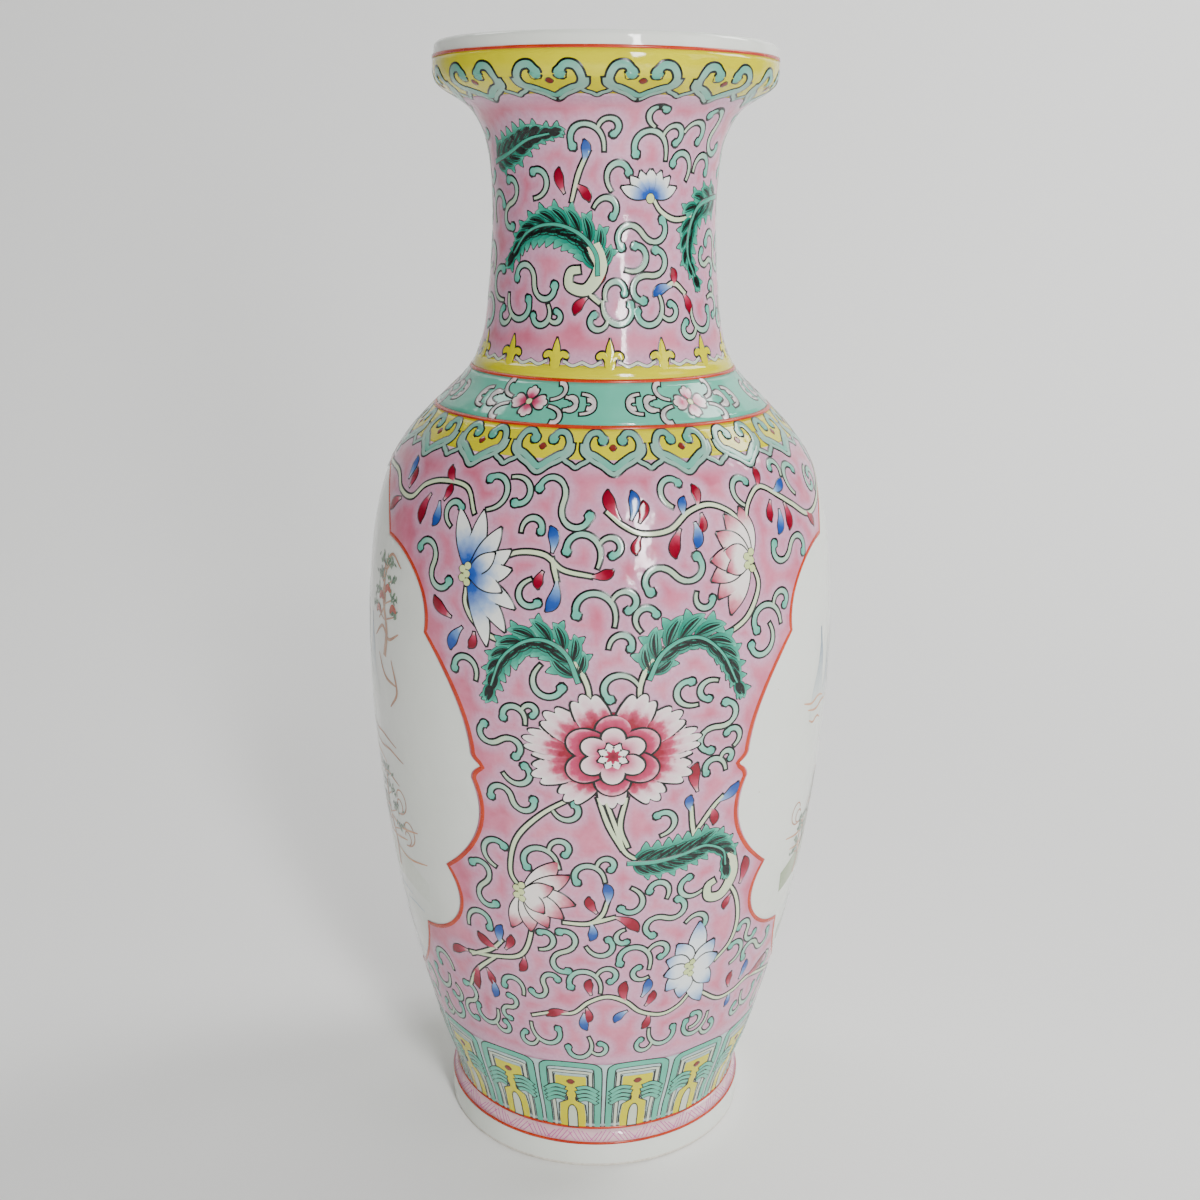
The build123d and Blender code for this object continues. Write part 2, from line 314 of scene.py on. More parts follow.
def by_shade(*stops, drift=0.10):
    """A colour painted from a stroke's root to its edge, with the brush's unevenness."""
    def colour(tree, where):
        along = add(tree, "ShaderNodeAttribute", {"attribute_name": "shade"})
        cloud = add(tree, "ShaderNodeTexNoise", {"Scale": 420.0, "Detail": 3.0}, Vector=where)
        shift = add(tree, "ShaderNodeMapRange", {"To Min": -drift, "To Max": drift},
                    Value=cloud.outputs["Fac"])
        total = add(tree, "ShaderNodeMath", {"operation": "ADD"})
        tree.links.new(along.outputs["Fac"], total.inputs[0])
        tree.links.new(shift.outputs["Result"], total.inputs[1])
        return ramp(tree, stops, total.outputs["Value"])
    return colour


def rose_colour(tree, where):
    halo = add(tree, "ShaderNodeAttribute", {"attribute_name": "halo"})
    cloud = add(tree, "ShaderNodeTexNoise", {"Scale": 75.0, "Detail": 4.0, "Roughness": 0.6},
                Vector=where)
    fleck = add(tree, "ShaderNodeTexNoise", {"Scale": 900.0, "Detail": 2.0}, Vector=where)
    rose = ramp(tree, [(0.32, "D8869E"), (0.5, "D0748E"), (0.68, "C8647E")], cloud.outputs["Fac"])
    thin = ramp(tree, [(0.3, "C792AE"), (0.7, "D2A2BA")], fleck.outputs["Fac"])
    mix = add(tree, "ShaderNodeMix", {"data_type": "RGBA"}, Factor=halo.outputs["Fac"])
    tree.links.new(rose, mix.inputs[6])
    tree.links.new(thin, mix.inputs[7])
    return mix.outputs[2]


# Rose enamel: glossy, mottled pink that pales to lilac round the scrolls.
rose = gloss("rose_enamel", rose_colour, 0.10, 0.16, grain=0.004)
# Yellow enamel: flat lemon yellow, glossy.
yellow = gloss("lemon_yellow_enamel", plain((0.3, "CCC200"), (0.7, "D8D000")), 0.10, 0.14)
# Turquoise enamel: bluish green ground, a little streaky.
turquoise = gloss("turquoise_enamel", plain((0.3, "46AC90"), (0.7, "62BCA2")), 0.10, 0.14)
# Pale blue-white ground between the lappets.
pale = gloss("pale_blue_enamel", plain((0.3, "A4BEBC"), (0.7, "B6CCCA")), 0.10, 0.14)
# Iron red: a thin matt-edged brush line, brick red where it is thick.
iron_red = gloss("iron_red_enamel", plain((0.35, "B02808"), (0.65, "C23A10"), spread=120.0), 0.25, 0.05)

GROUND = 0.30


def sheet(name, low, high, material, lift=GROUND, turns=360, step=2.0):
    """A coat right round the vase between two lengths s, with its edges turned down."""
    rows = max(2, int((high - low) / step) + 1)
    levels = np.linspace(low, high, rows)
    levels = np.concatenate([[low], levels, [high]])
    lifts = np.full(len(levels), lift)
    lifts[0] = lifts[-1] = 0.0
    angles = np.arange(turns) * 2 * math.pi / turns
    points = np.concatenate([on_vase(angles, np.full(turns, s), up) for s, up in zip(levels, lifts)])
    faces = []
    for i in range(len(levels) - 1):
        for j in range(turns):
            k = (j + 1) % turns
            faces.append((i * turns + j, i * turns + k, (i + 1) * turns + k, (i + 1) * turns + j))
    return mesh_object(name, points, faces, material)


def node_span(node):
    """The two lengths s between which a coat lies."""
    low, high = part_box(node)
    return s_at(low.z / MM), s_at(high.z / MM)


for node, material, slot in [
    ("enamel_mouth_yellow", yellow, "yellow_enamel"),
    ("enamel_neck_yellow", yellow, "yellow_enamel"),
    ("enamel_shoulder_turquoise", turquoise, "turquoise_enamel"),
    ("enamel_shoulder_yellow", yellow, "yellow_enamel"),
    ("enamel_lappet_band", pale, "turquoise_enamel"),
    ("enamel_foot_pink", gloss("foot_pink_enamel", plain((0.3, "E2B4BE"), (0.7, "EBC7CC")), 0.10, 0.1),
     "pink_enamel"),
    ("iron_red_line_mouth", iron_red, "iron_red_enamel"),
    ("iron_red_line_neck", iron_red, "iron_red_enamel"),
    ("iron_red_line_shoulder", iron_red, "iron_red_enamel"),
    ("iron_red_line_foot_upper", iron_red, "iron_red_enamel"),
    ("iron_red_line_foot_lower", iron_red, "iron_red_enamel"),
]:
    low, high = node_span(node)
    line = node.startswith("iron")
    finished(sheet(node + "_fired", low, high, material, lift=GROUND + 0.1 * line), slot, node)

# ---------------------------------------------------------------------------------------------
# Brushwork. Every motif is drawn in ink, a black manganese line fired onto the ground, and
# filled with thick enamel that stands a little proud and is rounded at its edges.


def smooth_path(points, spacing=0.6):
    """A curve through given points, as closely spaced points."""
    points = np.asarray(points, float)
    padded = np.vstack([2 * points[0] - points[1], points, 2 * points[-1] - points[-2]])
    run = []
    for i in range(1, len(padded) - 2):
        a, b, c, d = padded[i - 1:i + 3]
        count = max(3, int(np.hypot(*(c - b)) / spacing))
        t = np.linspace(0, 1, count, endpoint=False)[:, None]
        run.append(0.5 * (2 * b + (c - a) * t + (2 * a - 5 * b + 4 * c - d) * t**2
                          + (3 * b - a - 3 * c + d) * t**3))
    return np.vstack(run + [points[-1:]])


def curl(length, turn, lean=0.0, sharp=1.7, count=30):
    """A line that sets off along x and winds up more and more tightly."""
    t = np.linspace(0, 1, count)
    heading = lean * t + turn * t**sharp
    step = length / (count - 1)
    x = np.concatenate([[0], np.cumsum(np.cos(heading[:-1]) * step)])
    y = np.concatenate([[0], np.cumsum(np.sin(heading[:-1]) * step)])
    return np.column_stack([x, y])


def moved(line, x, y, degrees):
    """A line turned and set down at a place."""
    a = math.radians(degrees)
    turn = np.array([[math.cos(a), math.sin(a)], [-math.sin(a), math.cos(a)]])
    return np.asarray(line) @ turn + (x, y)


def run_length(line):
    """Length along a line at each of its points."""
    return np.concatenate([[0], np.cumsum(np.hypot(*np.diff(line, axis=0).T))])


class Brush:
    """Gathers strokes of several enamels on the vase, and makes one mesh of each enamel.

    Strokes are drawn in millimetres: x round the vase at the radius reach, y along s.
    """

    def __init__(self, reach):
        self.reach = reach
        self.coats = {}
        self.inked = []

    def lay(self, paint, columns, lifts, shade):
        """A grid of enamel: columns are lines side by side, right to left."""
        points, faces, shades, start = self.coats.setdefault(paint, [[], [], [], [0]])
        rows, wide = len(columns[0]), len(columns)
        for line, lift in zip(columns, lifts):
            points.append(on_vase(line[:, 0] / self.reach, line[:, 1], lift))
        base = start[0]
        for j in range(wide - 1):
            for i in range(rows - 1):
                a = base + j * rows + i
                faces.append((a, a + 1, a + rows + 1, a + rows))
        shades.append(np.broadcast_to(shade, (wide, rows)).ravel())
        start[0] += rows * wide

    def stroke(self, paint, line, half, low=0.33, high=0.39, shade=None, ink=0.8):
        """A ribbon of enamel along a line, rounded across, on a wider stroke of ink."""
        line = np.asarray(line, float)
        half = np.broadcast_to(half, len(line))
        along = np.gradient(line, axis=0)
        along /= np.maximum(np.hypot(*along.T), 1e-9)[:, None]
        side = np.column_stack([-along[:, 1], along[:, 0]])
        if ink:
            under = line.copy()
            under[0] -= along[0] * ink
            under[-1] += along[-1] * ink
            edge = (half + ink)[:, None] * side
            flat = edge - 0.1 * side
            self.lay("ink", [under - edge, under - flat, under + flat, under + edge],
                     [GROUND - 0.02, low - 0.015, low - 0.015, GROUND - 0.02], 0.0)
            self.inked.append(line[::3])
            if half.max() > 1.3:
                self.inked += [(line - half[:, None] * side)[::3], (line + half[:, None] * side)[::3]]
        if paint:
            edge = half[:, None] * side
            crown = low + (high - low) * 0.8
            shade = run_length(line) / run_length(line)[-1] if shade is None else shade
            self.lay(paint, [line - edge, line - 0.6 * edge, line, line + 0.6 * edge, line + edge],
                     [low, crown, high, crown, low], shade)

    def hair(self, line, half=0.16, lift=0.5):
        """A fine tapering ink line over the enamel."""
        line = np.asarray(line, float)
        taper = np.sin(np.linspace(0.2, math.pi - 0.1, len(line)))**0.6
        along = np.gradient(line, axis=0)
        along /= np.maximum(np.hypot(*along.T), 1e-9)[:, None]
        edge = np.column_stack([-along[:, 1], along[:, 0]]) * (half * taper)[:, None]
        self.lay("ink", [line - edge, line + edge], [lift, lift], 0.0)

    def dot(self, paint, x, y, radius, low=0.33, high=0.45, ink=0.35):
        """A round spot."""
        t = np.linspace(-1, 1, 13)
        line = np.column_stack([x + t * radius, np.full(13, y)])
        self.stroke(paint, line, radius * np.sqrt(np.maximum(0, 1 - t * t)), low, high, ink=ink)

    def tendril(self, kind, x, y, degrees, size, hand, lean=-0.5):
        """The (line, half widths, shade) strokes of a curled tendril, the hindmost first.

        A hook ends in one curl, an ess has a curl at each end, and horns are a hook from
        whose back a smaller one springs and curls the other way.
        """
        knob = 1.6 * size**0.4
        if kind == "hook":
            line = moved(curl(25.0 * size, 4.6 * hand, lean * hand, sharp=1.3), x, y, degrees)
            return [(line, knobbed(line, knob), None)]
        if kind == "horns":
            main = moved(curl(28.0 * size, 4.6 * hand, -0.5 * hand, sharp=1.3), x, y, degrees)
            ahead = main[10] - main[9]
            turned = math.degrees(math.atan2(ahead[1], ahead[0])) - 62 * hand
            side = self.tendril("hook", *main[9], turned, 0.70 * size, -hand, lean=0.1)
            return side + [(main, knobbed(main, knob), None)]
        half = curl(19.0 * size, 4.1 * hand, -0.3 * hand, sharp=1.25)
        line = np.vstack([moved(half, x, y, degrees + 180)[::-1], moved(half, x, y, degrees)[1:]])
        widths = np.concatenate([knobbed(line[:30][::-1], knob)[::-1], knobbed(line[29:], knob)[1:]])
        widths[22:37] = np.maximum(widths[22:37], 0.85)
        return [(line, widths, np.abs(np.linspace(-1, 1, len(line))))]

    def petal(self, paint, x, y, degrees, length, half, bend=0.0, full=1.2, low=0.38, high=0.43):
        """A pointed petal, or a bud."""
        line = moved(curl(length, bend, sharp=1.0, count=18), x, y, degrees)
        t = np.linspace(0, 1, 18)
        self.stroke(paint, line, half * np.sin(math.pi * t**full)**0.8, low, high, ink=0.66)

    def bud(self, paint, x, y, degrees, length):
        """A comma-shaped bud: thin where it leaves the stem, round and full near its tip."""
        line = moved(curl(1.35 * length, 0.9 if degrees % 180 < 90 else -0.9, count=20), x, y, degrees)
        t = np.linspace(0, 1, 20)
        half = (0.8 + 0.13 * length) * np.sin(math.pi * t**1.6)**0.8 + 0.35 * (1 - t)
        self.stroke(paint, line, half, 0.38, 0.43, shade=t**0.8, ink=0.5)

    def vine(self, points):
        """A stem through given points."""
        line = smooth_path(points)
        taper = np.interp(np.linspace(0, 1, len(line)), [0, 0.5, 1], [0.7, 1.0, 0.75])
        self.stroke("stem", line, 0.8 * taper, low=0.37, high=0.42)

    def fan(self, paint, x, y, degrees, spread, inner, outer, low, lobes=3, ink=0.7, flat=1.0):
        """A petal that widens outwards and ends in a scalloped edge."""
        for coat, grow, foot, top in (("ink", ink, low - 0.03, low - 0.015), (paint, 0.0, low, low + 0.03)):
            v = np.linspace(-1, 1, 33)
            u = np.linspace(0, 1, 11)
            ripple = np.abs(np.cos(lobes * math.pi / 2 * v))**0.6
            edge = outer * (1 - 0.14 * v * v - 0.12 * (1 - ripple)) + grow
            columns = []
            lifts = []
            for k, across in enumerate(v):
                radius = inner + (edge[k] - inner) * u
                belly = np.sin(math.pi * (0.20 + 0.55 * u))
                angle = math.radians(degrees) + across * (spread * belly + grow / np.maximum(radius, 2))
                columns.append(np.column_stack([x + radius * np.cos(angle),
                                                y + radius * flat * np.sin(angle)]))
                lifts.append(foot + (top - foot) * (1 - across**4))
            self.lay(coat, columns, lifts, u)
        self.inked += [line[3:] for line in columns[::4]]

    def leaf(self, points, length, count):
        """An acanthus leaf: pointed lobes along both sides of a rib, veined in ink."""
        rib = smooth_path(points)
        total = run_length(rib)
        headings = np.degrees(np.unwrap(np.arctan2(*np.gradient(rib, axis=0).T[::-1])))
        t = np.linspace(0, 1, 16)
        for i in range(count):
            u = 0.04 + 0.94 * i / (count - 1)
            at = min(int(np.searchsorted(total, u * total[-1])), len(rib) - 1)
            swell = 0.62 + 0.38 * math.sin(math.pi * min(1, 0.2 + 0.9 * u))
            for hand in (1, -1):
                reach = length * swell * (1.0 if hand > 0 else 0.85)
                lobe = moved(curl(reach, -0.8 * hand, sharp=1.2, count=16), *rib[at],
                             headings[at] + hand * (52 - 32 * u))
                lift = 0.38 + 0.012 * i + 0.006 * (hand > 0)
                for k, turn, share in ((6, 34, 0.52), (9, -30, 0.42)):
                    ahead = lobe[k + 1] - lobe[k]
                    notch = moved(curl(reach * share, 0.5 * turn / 34, sharp=1.0, count=16), *lobe[k],
                                  math.degrees(math.atan2(ahead[1], ahead[0])) + turn)
                    self.stroke("leaf", notch, reach * share * 0.26 * np.sin(math.pi * t**0.85)**0.75,
                                lift, lift + 0.01, shade=0.35 + 0.65 * t, ink=0.36)
                self.stroke("leaf", lobe, reach * 0.21 * np.sin(math.pi * t**0.85)**0.75,
                            lift + 0.015, lift + 0.03, shade=0.1 + 0.9 * t, ink=0.2)
                self.hair(lobe[1:13], 0.62, lift + 0.05)
                for edge in (0.11, -0.11):
                    vein = lobe[1:14] + edge * reach * np.sin(math.pi * t[1:14])[:, None] * np.array(
                        [-math.sin(math.radians(headings[at] + hand * 40)),
                         math.cos(math.radians(headings[at] + hand * 40))])
                    self.hair(vein, 0.2, lift + 0.05)
        self.stroke("leaf", rib, np.linspace(0.8, 0.3, len(rib)), 0.58, 0.62, shade=0.8, ink=0.35)


def knobbed(line, knob, root=0.45, middle=0.9):
    """Half widths of a tendril: thin at its root, and a round knob at its tip."""
    total = run_length(line)
    t = total / total[-1]
    left = total[-1] - total
    stem = root + (middle - root) * np.minimum(1, 2.2 * t)
    ball = np.sqrt(np.maximum(0, knob**2 - (left - knob)**2))
    return np.where(left < knob, ball, np.maximum(stem, ball))


paints = {
    # Ink: thin, nearly black line with a low sheen.
    "ink": gloss("manganese_ink_line", plain((0.3, "050A08"), (0.7, "0E1612"), spread=200.0), 0.28, 0.02),
    # Scroll green: pale turquoise that is darker towards the knob.
    "scroll": gloss("scroll_green_enamel", by_shade((0.0, "B8CCAE"), (0.45, "A2C8B4"), (0.8, "74BFA8"),
                    (1.0, "52B09C")), 0.12, 0.05),
    # Stem green: milky yellow-green.
    "stem": gloss("stem_green_enamel", by_shade((0.0, "D9E3BE"), (1.0, "C6DAB0")), 0.12, 0.05),
    # Leaf green: deep bluish green, translucent, lighter at the lobes' tips.
    "leaf": gloss("leaf_green_enamel", by_shade((0.0, "0F5A48"), (0.4, "1C806A"), (0.85, "3FA68C"),
                  (1.0, "66BFA6")), 0.10, 0.05),
    # Ruby enamel shaded into white, brushed wet in wet: dark heart, chalky white petal ends.
    "peony_outer": gloss("ruby_to_white_enamel", by_shade((0.0, "7A0018"), (0.46, "92082A"), (0.62, "C04868"),
                         (0.76, "E8C4CC"), (1.0, "EFE8E4"), drift=0.14), 0.10, 0.05),
    # Ruby enamel laid thick: deep wine red that only pinks at the very edge.
    "peony_middle": gloss("ruby_enamel", by_shade((0.0, "6E0018"), (0.55, "960A34"), (0.85, "BE3C64"),
                          (1.0, "E0A0B0"), drift=0.14), 0.10, 0.05),
    # Ruby let down with white: rose pink, paling evenly to the edge.
    "peony_inner": gloss("pale_ruby_enamel", by_shade((0.0, "960A34"), (0.40, "C85478"), (0.72, "E6B8C2"),
                         (1.0, "EFE0DE"), drift=0.10), 0.10, 0.05),
    # Ruby on a white stalk: small glossy drops of dark red.
    "bud_red": gloss("ruby_bud_enamel", by_shade((0.0, "E4CCCC"), (0.30, "B8405C"), (0.65, "8C0828"),
                     (1.0, "78001C")), 0.10, 0.05),
    # Cobalt on a white stalk: small glossy drops of bright blue.
    "bud_blue": gloss("cobalt_bud_enamel", by_shade((0.0, "D0DCE4"), (0.35, "6C94C8"), (0.7, "2850A0"),
                      (1.0, "183E8C")), 0.10, 0.05),
    # Cobalt at a petal's root, gone to white by two thirds of its length.
    "petal_blue": gloss("cobalt_to_white_enamel", by_shade((0.0, "183C94"), (0.25, "2C58B0"), (0.5, "94B0D8"),
                        (0.72, "E6EAE6"), (1.0, "F3F2EC")), 0.10, 0.05),
    # White petal with a blush of ruby at its tip.
    "petal_white": gloss("white_to_ruby_enamel", by_shade((0.0, "F4F1EA"), (0.6, "F1E6E2"), (0.8, "D98D9B"),
                         (1.0, "A8304C")), 0.10, 0.05),
    # White petal with a breath of blue at its tip.
    "petal_ice": gloss("white_to_blue_enamel", by_shade((0.0, "F3F3EC"), (0.6, "E2EBF0"), (0.85, "A3BFDF"),
                       (1.0, "5B86C4")), 0.10, 0.05),
    # Yellow-green, opaque and bright: the bead-like hearts of the flowers.
    "calyx": gloss("calyx_green_enamel", plain((0.3, "C3D488"), (0.7, "D7E2A6")), 0.12, 0.05),
    # Iron red laid thick: brown-red beads.
    "dot_brown": gloss("brown_red_enamel", plain((0.3, "6E2119"), (0.7, "84301F")), 0.14, 0.05),
    "yellow": yellow,
    "turquoise": turquoise,
    # Border green: a turquoise line with a greyer, thinner middle.
    "border": gloss("border_green_enamel", by_shade((0.0, "5CAE98"), (0.5, "8CB4A4"), (1.0, "4CA690")),
                    0.12, 0.05),
    # Cream: a greenish white line, opaque and quiet.
    "cream": gloss("cream_enamel", plain((0.3, "C2CDB6"), (0.7, "D0D8C4")), 0.12, 0.05),
    # Grey-white: cloud scrolls with a pearly middle.
    "cloud": gloss("grey_cloud_enamel", by_shade((0.0, "D8CFCB"), (0.5, "B9B4B4"), (1.0, "E2D5D3")),
                   0.12, 0.05),
    # Magenta: a thin pen line, translucent over pale pink.
    "magenta": gloss("magenta_line_enamel", plain((0.3, "C2479A"), (0.7, "CF66A8")), 0.16, 0.02),
    # Opaque white: the stamens at the heart of the peony.
    "white": gloss("white_enamel", plain((0.3, "EFEDE6"), (0.7, "F5F3EC")), 0.10, 0.05),
}
PAINT_SLOT = {"ink": "iron_red_enamel", "scroll": "turquoise_enamel", "stem": "turquoise_enamel",
              "leaf": "turquoise_enamel", "peony_outer": "pink_enamel", "peony_middle": "pink_enamel",
              "peony_inner": "pink_enamel", "bud_red": "pink_enamel", "bud_blue": "turquoise_enamel",
              "petal_blue": "turquoise_enamel", "petal_white": "pink_enamel",
              "petal_ice": "turquoise_enamel", "calyx": "yellow_enamel",
              "dot_brown": "iron_red_enamel", "yellow": "yellow_enamel",
              "turquoise": "turquoise_enamel", "border": "turquoise_enamel",
              "cream": "yellow_enamel", "cloud": "turquoise_enamel", "magenta": "pink_enamel",
              "white": "clear_glaze"}


def round_tree():
    """Geometry Nodes that set copies of a motif evenly round the vase's axis."""
    tree = bpy.data.node_groups.new("copies_round_the_axis", "GeometryNodeTree")
    for name, kind in (("Motif", "NodeSocketGeometry"), ("Count", "NodeSocketInt"),
                       ("First Angle", "NodeSocketFloat"), ("Enamel", "NodeSocketMaterial")):
        tree.interface.new_socket(name, in_out="INPUT", socket_type=kind)
    tree.interface.new_socket("Geometry", in_out="OUTPUT", socket_type="NodeSocketGeometry")
    given = add(tree, "NodeGroupInput").outputs
    points = add(tree, "GeometryNodePoints", Count=given["Count"])
    share = add(tree, "ShaderNodeMath", {"operation": "DIVIDE"})
    share.inputs[0].default_value = 2 * math.pi
    tree.links.new(given["Count"], share.inputs[1])
    angle = add(tree, "ShaderNodeMath", {"operation": "MULTIPLY_ADD"})
    tree.links.new(add(tree, "GeometryNodeInputIndex").outputs["Index"], angle.inputs[0])
    tree.links.new(share.outputs["Value"], angle.inputs[1])
    tree.links.new(given["First Angle"], angle.inputs[2])
    euler = add(tree, "ShaderNodeCombineXYZ", Z=angle.outputs["Value"])
    turn = add(tree, "FunctionNodeEulerToRotation", Euler=euler.outputs["Vector"])
    copies = add(tree, "GeometryNodeInstanceOnPoints", Points=points.outputs[0],
                 Instance=given["Motif"], Rotation=turn.outputs["Rotation"])
    real = add(tree, "GeometryNodeRealizeInstances", Geometry=copies.outputs["Instances"])
    painted = add(tree, "GeometryNodeSetMaterial", Geometry=real.outputs["Geometry"],
                  Material=given["Enamel"])
    add(tree, "NodeGroupOutput", Geometry=painted.outputs["Geometry"])
    return tree


ROUND = round_tree()


def fired(name, brush, count, first=0.0):
    """Turns a brush's strokes into meshes, one for each enamel, repeated round the vase."""
    for paint, (points, faces, shades, _) in brush.coats.items():
        motif = mesh_object("motif", np.concatenate(points), faces, paints[paint], np.concatenate(shades))
        modifier = motif.modifiers.new("round", "NODES")
        modifier.node_group = ROUND
        for socket in ROUND.interface.items_tree:
            if socket.in_out == "INPUT" and socket.name != "Motif":
                modifier[socket.identifier] = {"Count": count, "First Angle": first,
                                               "Enamel": paints[paint]}[socket.name]
        bpy.context.view_layer.update()
        depsgraph = bpy.context.evaluated_depsgraph_get()
        plain_mesh = bpy.data.meshes.new_from_object(motif.evaluated_get(depsgraph))
        plain_mesh.polygons.foreach_set("use_smooth", [True] * len(plain_mesh.polygons))
        made = bpy.data.objects.new(name + "_" + paint, plain_mesh)
        frame_scene.collection.objects.link(made)
        bpy.data.objects.remove(motif)
        finished(made, PAINT_SLOT[paint])


# ---------------------------------------------------------------------------------------------
# Ruyi borders under the mouth and on the shoulder. Heart-shaped heads with rolled ends, a
# brown dot in each and a scallop between, outlined in ink and filled with green on yellow.


def ruyi_border(name, count, reach, foot, half_width, height, first):
    """A ring of heads whose points hang down to s = foot."""
    brush = Brush(reach)
    pitch = 2 * math.pi * reach / count
    side = [(0.34, 0.18), (0.64, 0.33), (0.90, 0.43), (1.0, 0.68), (0.84, 0.93), (0.54, 0.97),
            (0.37, 0.80), (0.47, 0.66)]
    right = [(x * half_width, foot + y * height) for x, y in side]
    heart = smooth_path([(-x, y) for x, y in right[::-1]] + [(0, foot + 0.02 * height)] + right, 0.5)
    centre = heart.mean(axis=0)
    brush.lay("yellow", [centre + (heart - centre) * k for k in (1.0, 0.5, 0.01)], [0.31, 0.31, 0.31], 0.5)
    gap = pitch / 2
    near = gap - 0.50 * half_width
    scallop = smooth_path([(near, foot + 0.44 * height), (near + 0.8, foot + 0.22 * height),
                           (gap - 1.8, foot + 0.10 * height), (gap, foot + 0.02 * height),
                           (gap + 1.8, foot + 0.10 * height), (2 * gap - near - 0.8, foot + 0.22 * height),
                           (2 * gap - near, foot + 0.44 * height)], 0.5)
    top = np.column_stack([scallop[:, 0], np.full(len(scallop), foot + 0.62 * height)])
    brush.lay("yellow", [scallop, top], [0.31, 0.31], 0.5)
    brush.stroke("border", scallop, 0.75, low=0.34, high=0.38, shade=0.5)
    outer = [(1.13, 0.66), (1.08, 0.42), (0.72, 0.20), (0.38, 0.06), (0, -0.13)]
    outer = [(x * half_width, foot + y * height) for x, y in outer]
    shell = smooth_path([(-x, y) for x, y in outer] + outer[-2::-1], 0.5)
    brush.stroke("border", shell, 0.85, low=0.36, high=0.40, shade=0.5)
    ends = np.abs(np.linspace(-1, 1, len(heart)))
    last_knob = knobbed(heart, 2.0, 1.15, 1.15)
    first_knob = knobbed(heart[::-1], 2.0, 1.15, 1.15)[::-1]
    own_knob = np.where(np.arange(len(heart)) > len(heart) / 2, last_knob, first_knob)
    width = np.where(ends > 0.7, own_knob, np.minimum(last_knob, first_knob))
    brush.stroke("border", heart, width, low=0.39, high=0.45, shade=ends)
    brush.dot("dot_brown", 0, foot + 0.56 * height, 1.3, low=0.36, high=0.46)
    fired(name, brush, count, first)


mouth_low = node_span("enamel_mouth_yellow")[0]
shoulder_low = node_span("enamel_shoulder_yellow")[0]
ruyi_border("mouth_heads", 12, 62.0, mouth_low - 1.0, 11.6, 15.0, math.radians(8.7))
ruyi_border("shoulder_heads", 18, 82.0, shoulder_low - 3.5, 10.9, 15.5, 0.0)

# ---------------------------------------------------------------------------------------------
# Trefoils that stand up from the yellow band at the foot of the neck, with a pale line between.
# Yellow and cream enamel, painted in ink outlines over the edge where the rose ground begins.
reach = 58.0
TREFOILS = 15
pitch = 2 * math.pi * reach / TREFOILS
neck_low, neck_high = node_span("enamel_neck_yellow")
brush = Brush(reach)
for hand in (1, -1):
    base = neck_high - 0.6
    edge = smooth_path([(hand * pitch / 2, base + 1.8), (hand * pitch * 0.33, base + 0.4),
                        (hand * pitch * 0.2, base + 1.6), (hand * 3.6, base + 2.0)], 0.5)
    brush.stroke("cream", edge, 0.55, low=0.35, high=0.42, ink=0.3)
    line = moved(curl(8.5, 4.4 * hand, -0.4 * hand), hand * 0.8, base + 1.6, 90 - 52 * hand)
    brush.stroke("yellow", moved(curl(7.5, -3.6 * hand, 0.5 * hand), hand * 0.6, base + 1.2, 90 - 15 * hand),
                 knobbed(line, 1.15, 1.3, 1.2), low=0.36, high=0.46)
brush.petal("yellow", 0, base + 1.0, 90, 9.5, 1.7, full=0.85, low=0.38, high=0.48)
brush.dot("yellow", 0, base + 1.2, 2.4, low=0.33, high=0.47, ink=0)
fired("neck_trefoils", brush, TREFOILS)

# ---------------------------------------------------------------------------------------------
# Turquoise shoulder band: six four-petalled flowers with grey cloud scrolls between them,
# painted in thick enamels on the turquoise ground and fired with it.
low, high = node_span("enamel_shoulder_turquoise")
middle = (low + high) / 2
brush = Brush(68.0)
for k in range(4):
    long = 8.2 if k % 2 == 0 else 7.0
    brush.fan("peony_inner", 0, middle, 90 * k, 0.62, 1.2, long, 0.36 + 0.02 * k, lobes=2)
brush.dot("calyx", 0, middle, 1.3, low=0.46, high=0.54)
for hand in (1, -1):
    for row in (1, -1):
        start = (hand * 9.5, middle + 1.5 * row)
        brush.stroke("cloud", moved(curl(13, 3.6 * hand * row, -0.3 * hand * row), *start, 90 - 90 * hand
                                    + 14 * hand * row), np.linspace(0.5, 1.0, 30), low=0.34, high=0.42)
        brush.stroke("cloud", moved(curl(12, -4.0 * hand * row), hand * 16, middle + 3.0 * row,
                                    90 - 90 * hand - 8 * hand * row), np.linspace(0.6, 0.9, 30),
                     low=0.34, high=0.42)
        brush.stroke("cloud", moved(curl(12, 3.4 * hand * row), hand * 23, middle - 4.6 * row,
                                    90 - 90 * hand + 6 * hand * row), np.linspace(0.5, 0.9, 30),
                     low=0.34, high=0.42)
fired("shoulder_flowers", brush, 6, math.radians(30))

# ---------------------------------------------------------------------------------------------
# Lappets round the foot: sixteen upright tabs with a turquoise frame, a cream line inside it,
# a yellow figure with a brown dot, and four-fingered hands reaching in from both sides.
reach = 66.0
low, high = node_span("enamel_lappet_band")
brush = Brush(reach)
frame_line = [(-10.6, low), (-10.6, low + 12), (-10.5, high - 6), (-9.6, high - 2.0),
              (-6.5, high - 0.9), (0, high - 0.5), (6.5, high - 0.9), (9.6, high - 2.0),
              (10.5, high - 6), (10.6, low + 12), (10.6, low)]
brush.stroke("turquoise", smooth_path(frame_line), 1.25, low=0.36, high=0.42, ink=0.55)
inner_line = [(-7.6, low), (-7.6, high - 8), (-7.0, high - 5.2), (0, high - 4.8), (7.0, high - 5.2),
              (7.6, high - 8), (7.6, low)]
brush.stroke("cream", smooth_path(inner_line), 0.6, low=0.35, high=0.39, ink=0.5)
levels = np.array([high - 7.2, high - 8, high - 14, high - 17.5, high - 20, high - 22.5, high - 25,
                   low + 6, low])
